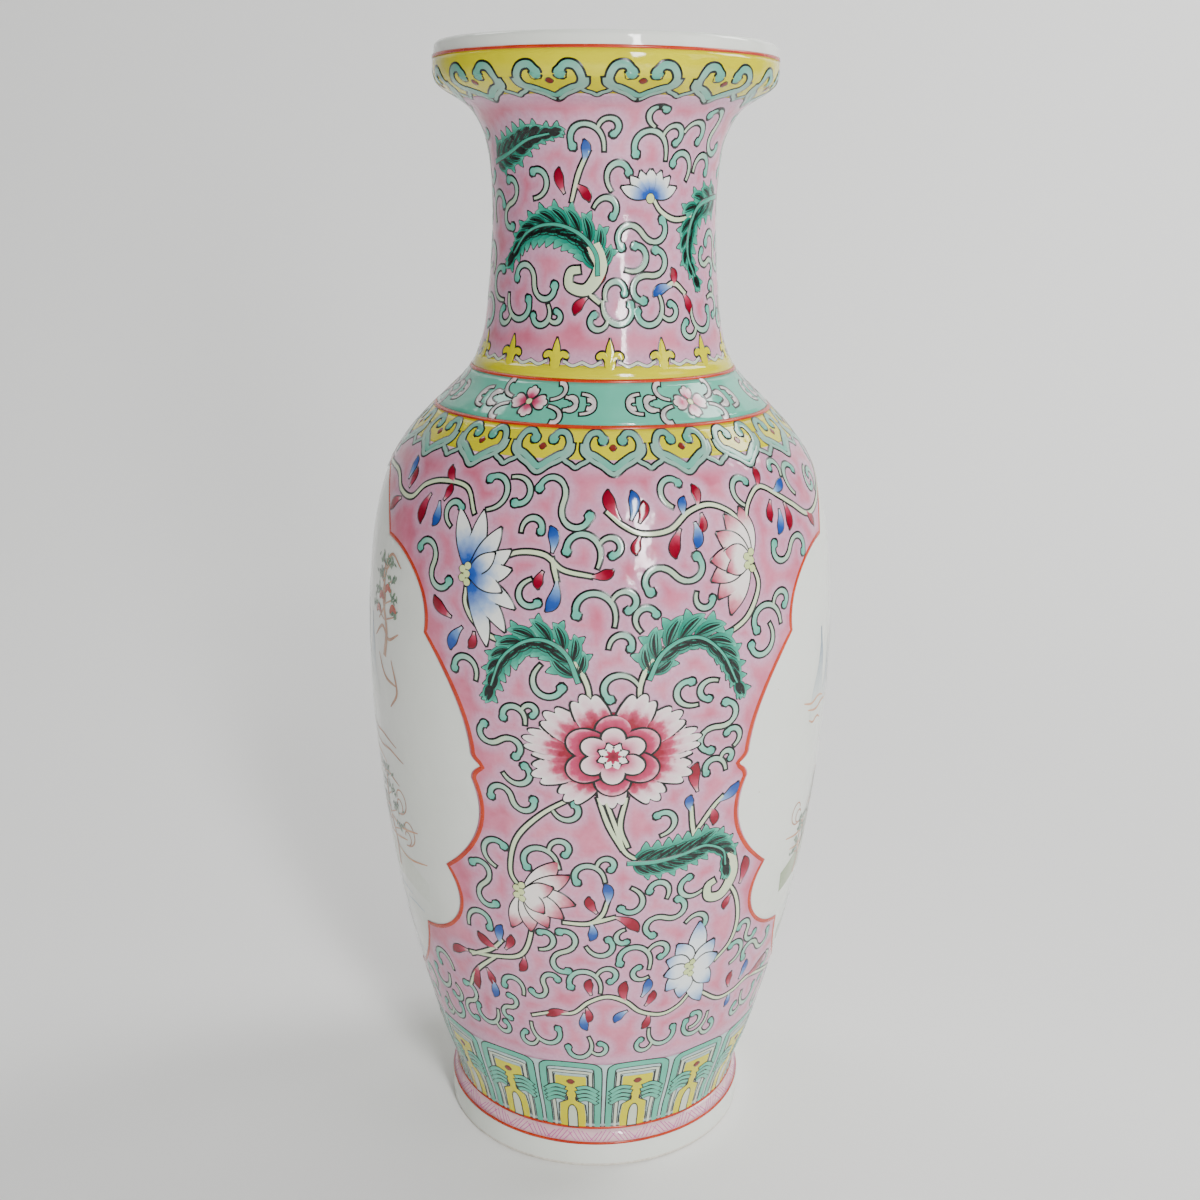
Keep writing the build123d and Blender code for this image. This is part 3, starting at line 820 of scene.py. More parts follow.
halves = np.array([5.6, 6.0, 6.0, 4.4, 1.4, 1.4, 5.0, 5.6, 5.6])
spots = np.linspace(levels[0], levels[-1], 50)
brush.stroke("yellow", np.column_stack([np.zeros(50), spots]),
             np.interp(spots[::-1], levels[::-1], halves[::-1])[::-1], low=0.36, high=0.44)
arch = np.linspace(low, low + 13, 30)
brush.stroke("cream", np.column_stack([np.zeros(30), arch]),
             1.9 * np.sqrt(np.clip(1 - ((arch - low) / 13)**4, 0, 1)), low=0.47, high=0.49, ink=0.6)
brush.dot("dot_brown", 0, high - 10.5, 1.35, low=0.46, high=0.55)
for hand in (1, -1):
    for finger in range(4):
        rise = high - 13.6 - 2.5 * finger
        reach_in = 2.0 + 0.5 * abs(finger - 1)
        brush.stroke("turquoise", smooth_path([(hand * 10.2, rise - 3.0), (hand * 7.5, rise - 0.6),
                     (hand * 5.2, rise), (hand * reach_in, rise - 1.0)]), 0.85, low=0.46, high=0.52, ink=0.5)
fired("foot_lappets", brush, 16, math.radians(11.25))

# ---------------------------------------------------------------------------------------------
# Foot band: magenta strokes hatched in alternate directions on pale pink, drawn with a fine
# pen in one row round the foot, between the two banded red lines.
low, high = node_span("enamel_foot_pink")
reach = 63.5
HATCHES = 22
brush = Brush(reach)
pitch = 2 * math.pi * reach / HATCHES
for k in range(5):
    for hand in (1, -1):
        x = -pitch / 4 + hand * pitch / 4 + (k - 2) * pitch / 10
        span = (high - low) * (1 - 0.12 * abs(k - 2))
        line = np.linspace([x - hand * 1.6, low + 0.3], [x + hand * 1.6, low + span - 0.3], 8)
        brush.stroke("magenta", line, 0.17, low=0.33, high=0.37, ink=0)
fired("foot_hatching", brush, HATCHES)

# ---------------------------------------------------------------------------------------------
# Flowered field of the belly, painted twice, on opposite sides: a peony, four smaller blooms,
# acanthus leaves, thin vines with buds, and hooked tendrils over the whole ground.
BELLY_REACH = 90.0
field = Brush(BELLY_REACH)

for points in [
    [(-130, 298), (-110, 297), (-100, 291), (-90, 290), (-83, 296), (-73, 299), (-60, 298), (-54, 289)],
    [(51, 283), (46, 290), (37, 294), (28, 292), (20, 286), (10, 285), (3, 288), (-3, 293)],
    [(51, 284), (55, 293), (63, 298), (73, 293), (80, 289), (92, 283), (106, 286), (128, 298)],
    [(-54, 262), (-54, 256), (-50, 250), (-42, 245), (-30, 244)],
    [(53, 270), (55, 262), (50, 252), (42, 247), (33, 245)],
    [(-8, 222), (-9, 230), (-13, 238), (-19, 243)], [(9, 222), (9, 230), (12, 238), (17, 243)],
    [(-44, 272), (-35, 277), (-25, 277), (-18, 272), (-8, 270)], [(-22, 276), (-20, 268)],
    [(-12, 187), (-25, 178), (-35, 166), (-38, 152), (-35, 145)],
    [(-31, 138), (-31, 125), (-36, 113), (-48, 109), (-62, 107)], [(-48, 109), (-60, 98), (-66, 88)],
    [(-2, 184), (2, 172), (5, 163), (12, 158)], [(5, 186), (3, 174), (6, 165)],
    [(-5, 186), (-1, 174), (4, 164)],
    [(48, 143), (54, 134), (57, 122), (55, 112), (48, 105)],
    [(-34, 82), (-25, 85), (-15, 86), (-8, 92), (0, 95), (8, 92), (15, 86), (25, 83), (33, 86), (38, 92)],
    [(44, 90), (55, 83), (65, 83), (75, 86), (88, 83), (104, 78)],
    [(-18, 131), (-8, 131), (-3, 135), (-1, 141)], [(-8, 131), (2, 134)], [(32, 163), (30, 172), (29, 180)],
    [(31, 168), (38, 178), (42, 182)], [(-61, 106), (-50, 112), (-44, 118)],
]:
    field.vine(points)
for paint, x, y, degrees, length in [
    ("bud_red", -67, 299, 145, 6), ("bud_red", -70, 292, 60, 5), ("bud_red", -78, 293, 240, 9),
    ("bud_blue", -72, 291, 280, 7), ("bud_blue", -97, 296, 80, 7), ("bud_red", -94, 293, 70, 6),
    ("bud_red", -98, 288, 200, 8), ("bud_red", -128, 299, 190, 9), ("bud_red", 2, 290, 130, 9),
    ("bud_blue", 6, 290, 70, 8), ("bud_red", 9, 289, 60, 6), ("bud_red", 9, 284, 240, 5),
    ("bud_red", 24, 286, 240, 8), ("bud_blue", 26, 291, 100, 5), ("bud_red", 32, 294, 80, 6),
    ("bud_red", 33, 291, 280, 5), ("bud_blue", 30, 288, 285, 7), ("bud_red", 62, 298, 60, 6),
    ("bud_blue", 70, 295, 10, 7), ("bud_red", 67, 292, 240, 6), ("bud_red", 75, 290, 290, 8),
    ("bud_blue", 71, 288, 270, 7), ("bud_red", 90, 284, 330, 7), ("bud_red", -8, 270, 0, 6),
    ("bud_red", -25, 271, 240, 5), ("bud_blue", -22, 278, 80, 7), ("bud_blue", -20, 268, 270, 9),
    ("bud_red", -60, 250, 160, 8), ("bud_blue", -55, 247, 225, 8), ("bud_red", -50, 246, 270, 5),
    ("bud_blue", -1, 140, 80, 7), ("bud_red", -5, 136, 130, 6), ("bud_red", 2, 134, -20, 9),
    ("bud_blue", -7, 131, 285, 6), ("bud_blue", 29, 178, 110, 5), ("bud_blue", 40, 180, 20, 8),
    ("bud_red", 37, 178, 300, 6), ("bud_red", 31, 186, 110, 9), ("bud_red", -63, 107, 185, 8),
    ("bud_red", -47, 113, 165, 8), ("bud_blue", -45, 116, 100, 7), ("bud_red", -43, 114, 50, 6),
    ("bud_red", -35, 112, 270, 6), ("bud_red", -58, 101, 240, 10), ("bud_red", -54, 101, 300, 6),
    ("bud_blue", -52, 96, 285, 7), ("bud_red", -17, 86, 180, 8), ("bud_red", -9, 89, 290, 6),
    ("bud_blue", -10, 86, 260, 7), ("bud_red", -7, 96, 110, 6), ("bud_red", 8, 92, 110, 8),
    ("bud_blue", 15, 94, 60, 7), ("bud_red", 17, 89, 50, 6), ("bud_blue", 9, 87, 210, 6),
    ("bud_red", 19, 84, 270, 6), ("bud_red", 61, 87, 110, 6), ("bud_blue", 68, 88, 60, 7),
    ("bud_blue", 63, 82, 280, 5), ("bud_red", 74, 86, 5, 12), ("bud_red", 55, 140, 70, 9),
    ("bud_red", 51, 136, 230, 5), ("bud_blue", 104, 78, 320, 7), ("bud_red", 126, 297, 30, 7),
]:
    field.bud(paint, x, y, degrees, length)

field.leaf([(-12, 231), (-16, 241), (-23, 246), (-31, 245), (-39, 238), (-43, 227)], 13.5, 10)
field.leaf([(12, 232), (16, 241), (23, 246), (31, 246), (39, 239), (45, 227)], 13.5, 10)
field.leaf([(6, 158), (17, 158), (28, 160), (36, 162), (44, 158), (46, 151)], 13.0, 12)
tail = smooth_path([(47, 156), (50, 146), (46, 138), (40, 138), (39, 143), (42, 145)])
field.stroke("stem", tail, np.linspace(3.0, 1.3, len(tail)), low=0.42, high=0.55)

for x, y, paint, petals in [
    (-54, 267, "petal_blue", [(98, 24, 3.4), (72, 24, 3.2), (-62, 27, 3.2), (-42, 25, 3.2), (-20, 22, 3.2),
                              (48, 22, 3.2), (24, 20, 3.2), (4, 18, 3.4), (-10, 15, 3.0), (32, 14, 2.8)]),
    (52, 272, "petal_white", [(88, 20, 3.6), (235, 21, 3.6), (212, 19, 3.8), (110, 20, 3.8), (190, 18, 4.0),
                              (132, 18, 3.8), (166, 17, 4.2), (150, 12, 3.6), (186, 11, 3.4)]),
    (-34, 143, "petal_white", [(38, 21, 3.8), (-98, 18, 3.4), (18, 21, 3.6), (-72, 18, 3.6), (-2, 21, 3.8),
                               (-48, 18, 3.8), (-24, 19, 3.8), (8, 13, 3.2), (-36, 12, 3.2)]),
    (36, 105, "petal_ice", [(78, 22, 4.0), (285, 21, 4.0), (112, 15, 4.0), (250, 15, 4.0), (215, 14, 3.8),
                            (145, 13, 3.8), (42, 15, 3.8), (-35, 15, 3.8), (8, 13, 4.0), (180, 12, 3.4)]),
]:
    for k, (degrees, length, half) in enumerate(petals):
        lift = 0.40 + 0.03 * k
        field.petal(paint, x, y, degrees, length, half, bend=0.3 if degrees > 0 else -0.3, full=1.1,
                    low=lift, high=lift + 0.025)
    for dx, dy in ((0, 0), (-1.9, 1.6), (-1.9, -1.6), (0.3, 3.0), (0.3, -3.0)):
        field.dot("calyx", x + dx, y + dy, 1.35, low=0.72, high=0.80, ink=0.3)

field.dot("peony_middle", 0, 203, 17, low=0.39, high=0.40)
for k, (degrees, length, lobes) in enumerate([
    (270, 24, 3), (232, 27, 3), (308, 27, 3), (200, 30, 3), (340, 30, 3), (168, 32, 4), (12, 32, 4),
    (142, 30, 3), (38, 30, 3), (112, 29, 3), (68, 29, 3),
]):
    field.fan("peony_outer", 0, 203, degrees, 0.36, 6.0, length, 0.42 + 0.025 * k, lobes=lobes, flat=0.88)
for k, degrees in enumerate([90, 270, 30, 150, 210, 330]):
    field.fan("peony_middle", 0, 203, degrees, 0.66, 3.0, 17.5, 0.70 + 0.02 * k, lobes=1, flat=0.9)
for k, degrees in enumerate([90, 30, 150, 210, 330, 270]):
    field.fan("peony_inner", 0, 203, degrees, 0.62, 2.0, 12.0, 0.84 + 0.02 * k, lobes=1, flat=0.92)
for k in range(8):
    field.petal("white", 0, 203, 45 * k + 20, 5.4, 1.6, full=1.0, low=0.97, high=0.99)
for k in range(8):
    field.petal("peony_middle", 0, 203, 45 * k, 3.2, 0.7, full=0.9, low=1.0, high=1.02)

SCROLLS = [
    ("hook", -49, 291, 15, 1.0, 1), ("hook", -46, 300, 10, 0.85, -1), ("ess", -24, 292, 50, 1.1, 1),
    ("horns", -9, 273, 95, 0.95, 1), ("hook", 22, 294, 150, 0.8, -1), ("hook", 53, 292, 150, 0.8, -1),
    ("hook", 80, 296, 140, 0.9, -1), ("hook", 84, 296, 40, 0.8, 1), ("ess", 79, 277, 60, 0.95, -1),
    ("ess", 66, 270, -60, 1.0, 1), ("ess", 21, 270, -45, 1.05, 1), ("hook", 24, 271, 60, 0.8, -1),
    ("horns", 5, 256, 80, 1.05, 1), ("ess", -9, 256, -40, 0.95, -1), ("hook", -24, 264, 230, 0.75, 1),
    ("ess", -67, 268, 70, 0.95, 1), ("hook", -64, 283, 120, 0.7, -1), ("ess", -90, 277, -30, 0.9, 1),
    ("horns", -80, 272, 60, 0.85, 1), ("hook", 34, 259, 230, 0.8, 1), ("horns", 61, 250, 100, 0.95, 1),
    ("hook", 60, 247, -60, 0.95, -1), ("hook", 47, 250, -100, 0.7, 1), ("hook", 14, 246, 130, 0.8, -1),
    ("hook", 3, 240, 80, 0.9, -1), ("hook", 9, 229, 120, 0.95, 1), ("hook", -38, 242, 80, 0.75, -1),
    ("hook", -20, 233, 230, 0.95, 1), ("ess", -50, 220, -70, 1.05, 1), ("hook", -44, 232, 80, 0.8, 1),
    ("ess", 33, 215, -30, 0.95, 1), ("hook", 40, 206, 40, 0.8, 1), ("ess", 52, 228, -80, 0.95, -1),
    ("horns", 42, 193, 100, 0.85, 1), ("ess", -37, 206, 60, 0.95, -1), ("hook", -34, 197, -30, 0.9, 1),
    ("ess", -41, 187, 80, 0.95, 1), ("horns", -44, 172, 120, 0.8, 1), ("hook", -41, 152, 150, 0.9, -1),
    ("horns", -19, 155, 100, 0.95, 1), ("hook", -16, 184, -60, 0.7, 1), ("horns", -2, 147, 100, 0.8, 1),
    ("hook", 3, 151, -30, 0.85, -1), ("ess", -50, 146, 40, 0.95, 1), ("hook", -48, 141, -40, 0.85, -1),
    ("hook", -57, 121, 90, 0.9, -1), ("ess", -13, 121, 20, 0.95, 1), ("hook", -12, 120, -60, 0.8, 1),
    ("horns", 12, 112, 80, 1.0, 1), ("ess", 22, 132, -20, 0.9, 1), ("hook", 26, 132, 50, 0.7, -1),
    ("horns", -3, 97, 85, 1.0, 1), ("ess", -22, 103, -70, 1.0, -1), ("hook", -76, 92, 100, 0.9, 1),
    ("ess", -68, 82, 20, 0.9, 1), ("horns", -84, 78, -90, 0.9, 1), ("horns", -57, 76, -90, 0.9, -1),
    ("horns", -35, 78, -90, 1.0, 1), ("horns", -13, 77, -90, 0.9, -1), ("horns", 20, 76, -90, 0.95, 1),
    ("horns", 48, 77, -90, 0.95, -1), ("horns", 74, 79, -90, 0.9, 1), ("hook", -37, 92, 80, 0.8, 1),
    ("hook", 22, 108, -150, 0.8, -1), ("ess", 60, 118, 100, 0.95, 1), ("hook", 58, 100, 20, 0.8, 1),
    ("ess", 78, 103, -30, 0.9, 1), ("hook", 70, 112, 60, 0.7, 1), ("hook", 87, 92, -40, 0.8, -1),
    ("hook", 52, 140, 40, 0.8, 1), ("hook", 42, 138, -120, 0.8, -1), ("hook", 27, 145, 70, 0.8, 1),
    ("hook", 52, 172, 60, 0.7, -1), ("hook", 18, 169, 20, 0.75, 1), ("hook", -62, 131, 40, 0.7, 1),
    ("ess", -45, 100, 60, 0.8, 1), ("hook", -28, 117, 30, 0.7, 1), ("hook", 6, 128, 200, 0.7, 1),
    ("hook", 97, 82, 100, 0.8, 1), ("hook", -100, 72, 60, 0.8, 1), ("ess", 98, 70, 10, 0.8, 1),
    ("hook", -108, 62, 120, 0.7, -1), ("horns", 118, 66, 90, 0.8, 1), ("ess", -112, 302, 10, 0.7, 1),
    ("hook", 104, 300, 200, 0.7, 1), ("hook", 108, 286, 60, 0.7, 1), ("horns", -128, 68, 90, 0.8, 1),
    ("hook", 134, 300, 100, 0.7, 1), ("hook", 140, 70, 80, 0.7, 1), ("hook", -136, 300, 80, 0.7, -1),
]


def outline_loops(node):
    """The outer and inner edges of a panel's outline, as closed lines of (angle, s) points."""
    work = bmesh.new()
    work.from_mesh(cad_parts[node].data)
    bmesh.ops.remove_doubles(work, verts=work.verts, dist=2e-6)
    work.normal_update()
    top = []
    for face in work.faces:
        middle = face.calc_center_median()
        reach = math.hypot(middle.x, middle.y)
        if (face.normal.x * middle.x + face.normal.y * middle.y) / reach > 0.6:
            top.append(face)
    uses = {}
    for face in top:
        for edge in face.edges:
            uses[edge] = uses.get(edge, 0) + 1
    # Kept in the mesh's own order, so that each loop starts at the same corner every time.
    left = dict.fromkeys(edge for edge, count in uses.items() if count == 1)
    near = {}
    for edge in left:
        for corner in edge.verts:
            near.setdefault(corner, []).append(edge)
    loops = []
    while left:
        edge = next(iter(left))
        del left[edge]
        start, at = edge.verts
        loop = [start]
        while at is not start:
            loop.append(at)
            edge = [e for e in near[at] if e in left][0]
            del left[edge]
            at = edge.other_vert(at)
        loops.append(np.array([(math.atan2(v.co.x, -v.co.y) % (2 * math.pi), s_at(v.co.z / MM))
                               for v in loop]))
    work.free()
    return sorted(loops, key=lambda loop: -np.ptp(loop[:, 1]))


def inside_loop(points, loop):
    """Which points lie inside a closed line."""
    ahead = np.roll(loop, -1, axis=0)
    hit = np.zeros(len(points), bool)
    for (x0, y0), (x1, y1) in zip(loop, ahead):
        if y0 != y1:
            crosses = (points[:, 1] < y0) != (points[:, 1] < y1)
            hit ^= crosses & (points[:, 0] < x0 + (points[:, 1] - y0) * (x1 - x0) / (y1 - y0))
    return hit


def has_room(brush, line, low, high, windows, clear):
    """Whether a tendril fits: clear of strokes already laid, of the panels and of the borders."""
    if line[:, 1].min() < low + 2.6 or line[:, 1].max() > high - 2.6:
        return False
    lap = 2 * math.pi * brush.reach
    for part in (line[-1:], line[len(line) // 2:len(line) // 2 + 1], line):
        gap_x = (part[:, None, 0] - brush.cloud[None, :, 0] + lap / 4) % (lap / 2) - lap / 4
        squeeze = np.interp(part[:, 1], lengths, radii)[:, None] / brush.reach
        if np.hypot(gap_x * squeeze, part[:, None, 1] - brush.cloud[None, :, 1]).min() < clear:
            return False
    if windows and np.abs(line[:, 0]).max() > 40:
        rim = np.concatenate([line + shift for shift in ((-2.4, 0), (2.4, 0), (0, 2.4), (0, -2.4))])
        return not any(inside_loop(rim, window).any() for window in windows)
    return True


def tendrils(brush, planned, low, high, windows, tries, seed):
    """Lays the planned tendrils, eased into free ground, then fills the ground left over."""
    brush.cloud = np.concatenate(brush.inked)[::2]

    def laid(kind, where, clear):
        strokes = brush.tendril(kind, *where)
        line = np.concatenate([(part if kind == "ess" else part[4:])[::2] for part, _, _ in strokes])
        if not has_room(brush, line, low, high, windows, clear):
            return False
        for part, half, shade in strokes:
            brush.stroke("scroll", part, half, low=0.35, high=0.40, shade=shade)
        brush.cloud = np.concatenate([brush.cloud] + [part[::2] for part, _, _ in strokes])
        return True

    nudges = [(0, 0), (3, 0), (-3, 0), (0, 3), (0, -3), (5, 4), (-5, -4), (-5, 4), (5, -4)]
    for kind, x, y, degrees, size, hand in planned:
        spots = [(x + dx, y + dy, degrees + turn, size * share, hand)
                 for share in (1.0, 0.85, 0.7) for turn in (0, 25, -25) for dx, dy in nudges]
        for spot in spots:
            if laid(kind, spot, 2.3):
                break
    chance = np.random.default_rng(seed)
    for attempt in range(tries):
        size = 1.0 if attempt < tries * 0.4 else 0.8 if attempt < tries * 0.7 else 0.62
        kind = ("horns", "ess", "hook")[chance.integers(0, 3)]
        laid(kind, (chance.uniform(-0.5, 0.5) * math.pi * brush.reach, chance.uniform(low, high),
                    chance.uniform(0, 360), size, int(chance.choice((-1, 1)))), 2.6)


outer_loop, inner_loop = outline_loops("iron_red_panel_outline_right")
few = outer_loop[::max(1, len(outer_loop) // 120)] * (BELLY_REACH, 1.0)
windows = [few, few - (math.pi * BELLY_REACH, 0.0)]
low, high = node_span("enamel_body_pink")
tendrils(field, SCROLLS, low, high - 2.0, windows, 4000, 11)
fired("belly_field", field, 2)

# ---------------------------------------------------------------------------------------------
# Neck field, painted twice like the belly's: leaves, a blue lotus, buds and tendrils.
neck = Brush(48.0)
for points in [[(17, 414), (21, 409), (28, 406), (38, 407)], [(-16, 412), (-13, 422), (-9, 430)],
               [(21, 380), (27, 383), (33, 379)], [(-9, 380), (-4, 376)]]:
    neck.vine(points)
for paint, x, y, degrees, length in [
    ("bud_red", -19, 415, 120, 7), ("bud_red", -14, 418, -30, 6), ("bud_blue", -11, 426, 70, 6),
    ("bud_red", 27, 382, 80, 5), ("bud_blue", 26, 382, 185, 7), ("bud_red", 32, 379, -50, 6),
    ("bud_red", -8, 382, 30, 6), ("bud_red", -9, 378, 215, 6),
]:
    neck.bud(paint, x, y, degrees, length)
neck.leaf([(-58, 426), (-46, 429), (-34, 434), (-24, 436)], 12.0, 8)
neck.leaf([(-5, 386), (-6, 394), (-13, 401), (-24, 404), (-36, 401), (-44, 393)], 14.0, 11)
neck.leaf([(60, 414), (50, 413), (41, 410), (36, 402), (35, 393), (39, 385)], 12.0, 9)
tail = smooth_path([(-7, 397), (-4, 389), (-9, 381), (-16, 382), (-16, 387), (-12, 388)])
neck.stroke("stem", tail, np.linspace(3.0, 1.3, len(tail)), low=0.42, high=0.55)
for k, degrees in enumerate([8, 32, 56, 80, 100, 124, 148, 172]):
    neck.petal("petal_blue", 16, 414, degrees, 13 - 3.5 * abs(math.sin(math.radians(degrees))), 2.1,
               bend=0.3 if degrees < 90 else -0.3, low=0.38 + 0.03 * k, high=0.40 + 0.03 * k)
neck.dot("calyx", 16, 413.5, 1.7, low=0.66, high=0.72)
NECK_SCROLLS = [
    ("horns", 0, 430, 90, 0.95, 1), ("horns", 22, 427, 88, 1.0, 1), ("hook", 5, 420, 100, 0.8, -1),
    ("hook", 28, 424, 60, 0.8, 1), ("ess", 46, 438, 60, 0.9, 1), ("hook", 40, 423, 80, 0.75, -1),
    ("ess", -44, 445, 20, 0.9, 1), ("ess", -24, 445, 30, 0.85, 1), ("horns", -16, 430, 100, 0.8, 1),
    ("ess", -42, 415, 20, 0.85, 1), ("hook", -30, 413, 10, 0.8, 1), ("ess", 8, 405, -50, 1.0, 1),
    ("hook", 22, 403, 60, 0.8, -1), ("hook", 1, 392, 10, 0.8, 1), ("ess", 16, 389, 20, 0.95, 1),
    ("hook", 3, 381, 100, 0.8, -1), ("ess", -27, 387, 70, 0.95, 1), ("hook", -36, 385, 60, 0.8, 1),
    ("ess", 52, 398, 80, 0.9, 1), ("ess", 44, 386, 30, 0.85, -1), ("horns", -46, 378, -90, 0.9, 1),
    ("horns", -30, 379, -90, 0.85, -1), ("horns", 0, 377, -90, 0.85, 1), ("horns", 17, 379, -90, 0.85, -1),
    ("horns", 31, 378, -90, 0.9, 1), ("horns", 47, 376, -90, 0.85, -1), ("ess", 62, 412, 80, 0.9, 1),
    ("hook", -58, 404, 120, 0.9, -1), ("ess", 66, 436, 40, 0.85, 1), ("hook", -62, 385, 60, 0.9, 1),
    ("horns", 62, 376, -90, 0.85, 1), ("hook", 34, 441, 60, 0.75, -1), ("hook", -2, 414, 60, 0.7, -1),
    ("ess", -64, 430, 70, 0.85, 1), ("hook", 66, 390, 60, 0.8, 1),
]
low, high = node_span("enamel_neck_pink")
tendrils(neck, NECK_SCROLLS, low + 7.0, high - 3.0, [], 1500, 5)
fired("neck_field", neck, 2)

# ---------------------------------------------------------------------------------------------
# Rose grounds of neck and belly. They are laid round the finished scrolls, paling towards
# them, and the belly's stops at the two reserved panels, which show the glaze itself.


def pale_near(brushes, points, low, high):
    """How much the rose pales at (angle, s) points: 1 beside a scroll or border, 0 well away."""
    lines = [on_vase(line[:, 0] / brush.reach + turn, line[:, 1], GROUND)
             for brush in brushes for line in brush.inked for turn in (0, math.pi)]
    marks = np.concatenate(lines)
    tree = KDTree(len(marks))
    for i, mark in enumerate(marks):
        tree.insert(mark, i)
    tree.balance()
    places = on_vase(points[:, 0], points[:, 1], GROUND)
    gap = np.array([tree.find(place)[2] for place in places]) / MM
    gap = np.minimum(gap, np.minimum(points[:, 1] - low, high - points[:, 1]) * 0.6)
    return np.clip(1.0 - (gap - 1.6) / 3.2, 0, 1)


low, high = node_span("enamel_body_pink")
loop = inner_loop * (BELLY_REACH, 1.0)
across = np.linspace(0, math.pi * BELLY_REACH, 182)
up = np.linspace(low, high, 150)
grid = np.array([(x, y) for y in up for x in across])
gap_to_loop = np.array([np.hypot(*(loop - point).T).min() for point in grid])
kept = grid[gap_to_loop > 0.5]
flat_points = [Vector(p) for p in np.vstack([loop, kept])]
ring = [(i, (i + 1) % len(loop)) for i in range(len(loop))]
corners, _, triangles, _, _, _ = delaunay_2d_cdt(flat_points, ring, [], 0, 1e-5)
corners = np.array([tuple(c) for c in corners])
triangles = np.array(triangles)
outside_window = ~inside_loop(corners[triangles].mean(axis=1), loop)
triangles = triangles[outside_window]
flat = corners / (BELLY_REACH, 1.0)
halo = pale_near([field], flat, low, high)
points = np.concatenate([on_vase(flat[:, 0] + turn, flat[:, 1], GROUND) for turn in (0, math.pi)])
faces = np.concatenate([triangles, triangles + len(flat)])
body_rose = mesh_object("body_rose_ground", points, faces, rose, halo=np.concatenate([halo, halo]))
work = bmesh.new()
work.from_mesh(body_rose.data)
bmesh.ops.delete(work, geom=[v for v in work.verts if not v.link_faces], context="VERTS")
bmesh.ops.remove_doubles(work, verts=work.verts, dist=1e-5)
rims = [e for e in work.edges if len(e.link_faces) == 1]
skirt = bmesh.ops.extrude_edge_only(work, edges=rims)["geom"]
for corner in [g for g in skirt if isinstance(g, bmesh.types.BMVert)]:
    shrink = 1 - (GROUND - 0.02) * MM / math.hypot(corner.co.x, corner.co.y)
    corner.co.x *= shrink
    corner.co.y *= shrink
bmesh.ops.recalc_face_normals(work, faces=work.faces)
work.to_mesh(body_rose.data)
work.free()
finished(body_rose, "pink_enamel", "enamel_body_pink")

low, high = node_span("enamel_neck_pink")
neck_rose = sheet("neck_rose_ground", low, high, rose, step=1.5)
corners = np.empty(3 * len(neck_rose.data.vertices))
neck_rose.data.vertices.foreach_get("co", corners)
corners = corners.reshape(-1, 3)
flat = np.column_stack([np.arctan2(corners[:, 0], -corners[:, 1]),
                        np.interp(corners[:, 2] / MM, heights, lengths)])
neck_rose.data.attributes.new("halo", "FLOAT", "POINT").data.foreach_set(
    "value", pale_near([neck], flat, low, high).astype(np.float32))
finished(neck_rose, "pink_enamel", "enamel_neck_pink")

# ---------------------------------------------------------------------------------------------
# Reserved panels. Each is bounded by an iron red line and shows the glaze, painted thinly with
# a landscape: mountains in mist, pines on a bank, still water and rolled clouds.
nearest = [np.argmin(np.hypot(*((outer_loop - point) * (BELLY_REACH, 1.0)).T)) for point in inner_loop]
middle_line = (inner_loop + outer_loop[nearest]) / 2 * (BELLY_REACH, 1.0)
middle_line = np.vstack([middle_line, middle_line[:2]])
outline = Brush(BELLY_REACH)
outline.stroke("iron", middle_line, 0.85, low=0.30, high=0.42, ink=0)
paints["iron"] = iron_red
PAINT_SLOT["iron"] = "iron_red_enamel"
for side, turn in (("right", 0.0), ("left", math.pi)):
    points, faces, shades, _ = outline.coats["iron"]
    placed = np.concatenate(points)
    if turn:
        placed = placed * (-1, -1, 1)
    made = mesh_object("panel_outline_" + side, placed, faces, iron_red)
    finished(made, "iron_red_enamel", "iron_red_panel_outline_" + side)

# Thin washes over the glaze: sepia and iron red lines, blue-grey mountains, grey-green trees.
paints["sepia"] = gloss("sepia_wash_line", plain((0.3, "A9765A"), (0.7, "C79A7C"), spread=160.0),
                        0.16, 0.05)
paints["orange"] = gloss("iron_wash_line", plain((0.3, "C88A5C"), (0.7, "DDAE86"), spread=160.0),
                         0.14, 0.05)
paints["peak"] = gloss("blue_grey_wash", by_shade((0.0, "5F7488"), (0.25, "8A9CAA"), (0.6, "C0CBCB"),
                       (1.0, "E3E8DD"), drift=0.2), 0.10, 0.05)
paints["pine"] = gloss("pine_green_wash", by_shade((0.0, "3F5F4C"), (1.0, "7E9A78")), 0.12, 0.05)
paints["bank"] = gloss("earth_green_wash", by_shade((0.0, "8FA07A"), (0.5, "C2C8A4"), (1.0, "E3E8DD")),
                       0.10, 0.05)
paints["rust"] = gloss("rust_wash", plain((0.3, "A8402A"), (0.7, "BC5A40")), 0.14, 0.05)
paints["lake"] = gloss("lake_blue_wash", plain((0.3, "A9C0CC"), (0.7, "C2D2D8")), 0.10, 0.05)
for paint in ("sepia", "orange", "peak", "pine", "bank", "rust", "lake"):
    PAINT_SLOT[paint] = "clear_glaze"
panel = Brush(BELLY_REACH)


def wash(paint, points, half, lift=0.03):
    """A thin stroke on the bare glaze, tapered at both ends if half is one number."""
    line = smooth_path(points)
    if np.isscalar(half):
        half = half * np.sin(np.linspace(0.15, math.pi - 0.15, len(line)))**0.5
    else:
        half = np.interp(np.linspace(0, 1, len(line)), np.linspace(0, 1, len(half)), half)
    panel.stroke(paint, line, half, low=lift, high=lift + 0.02, ink=0)


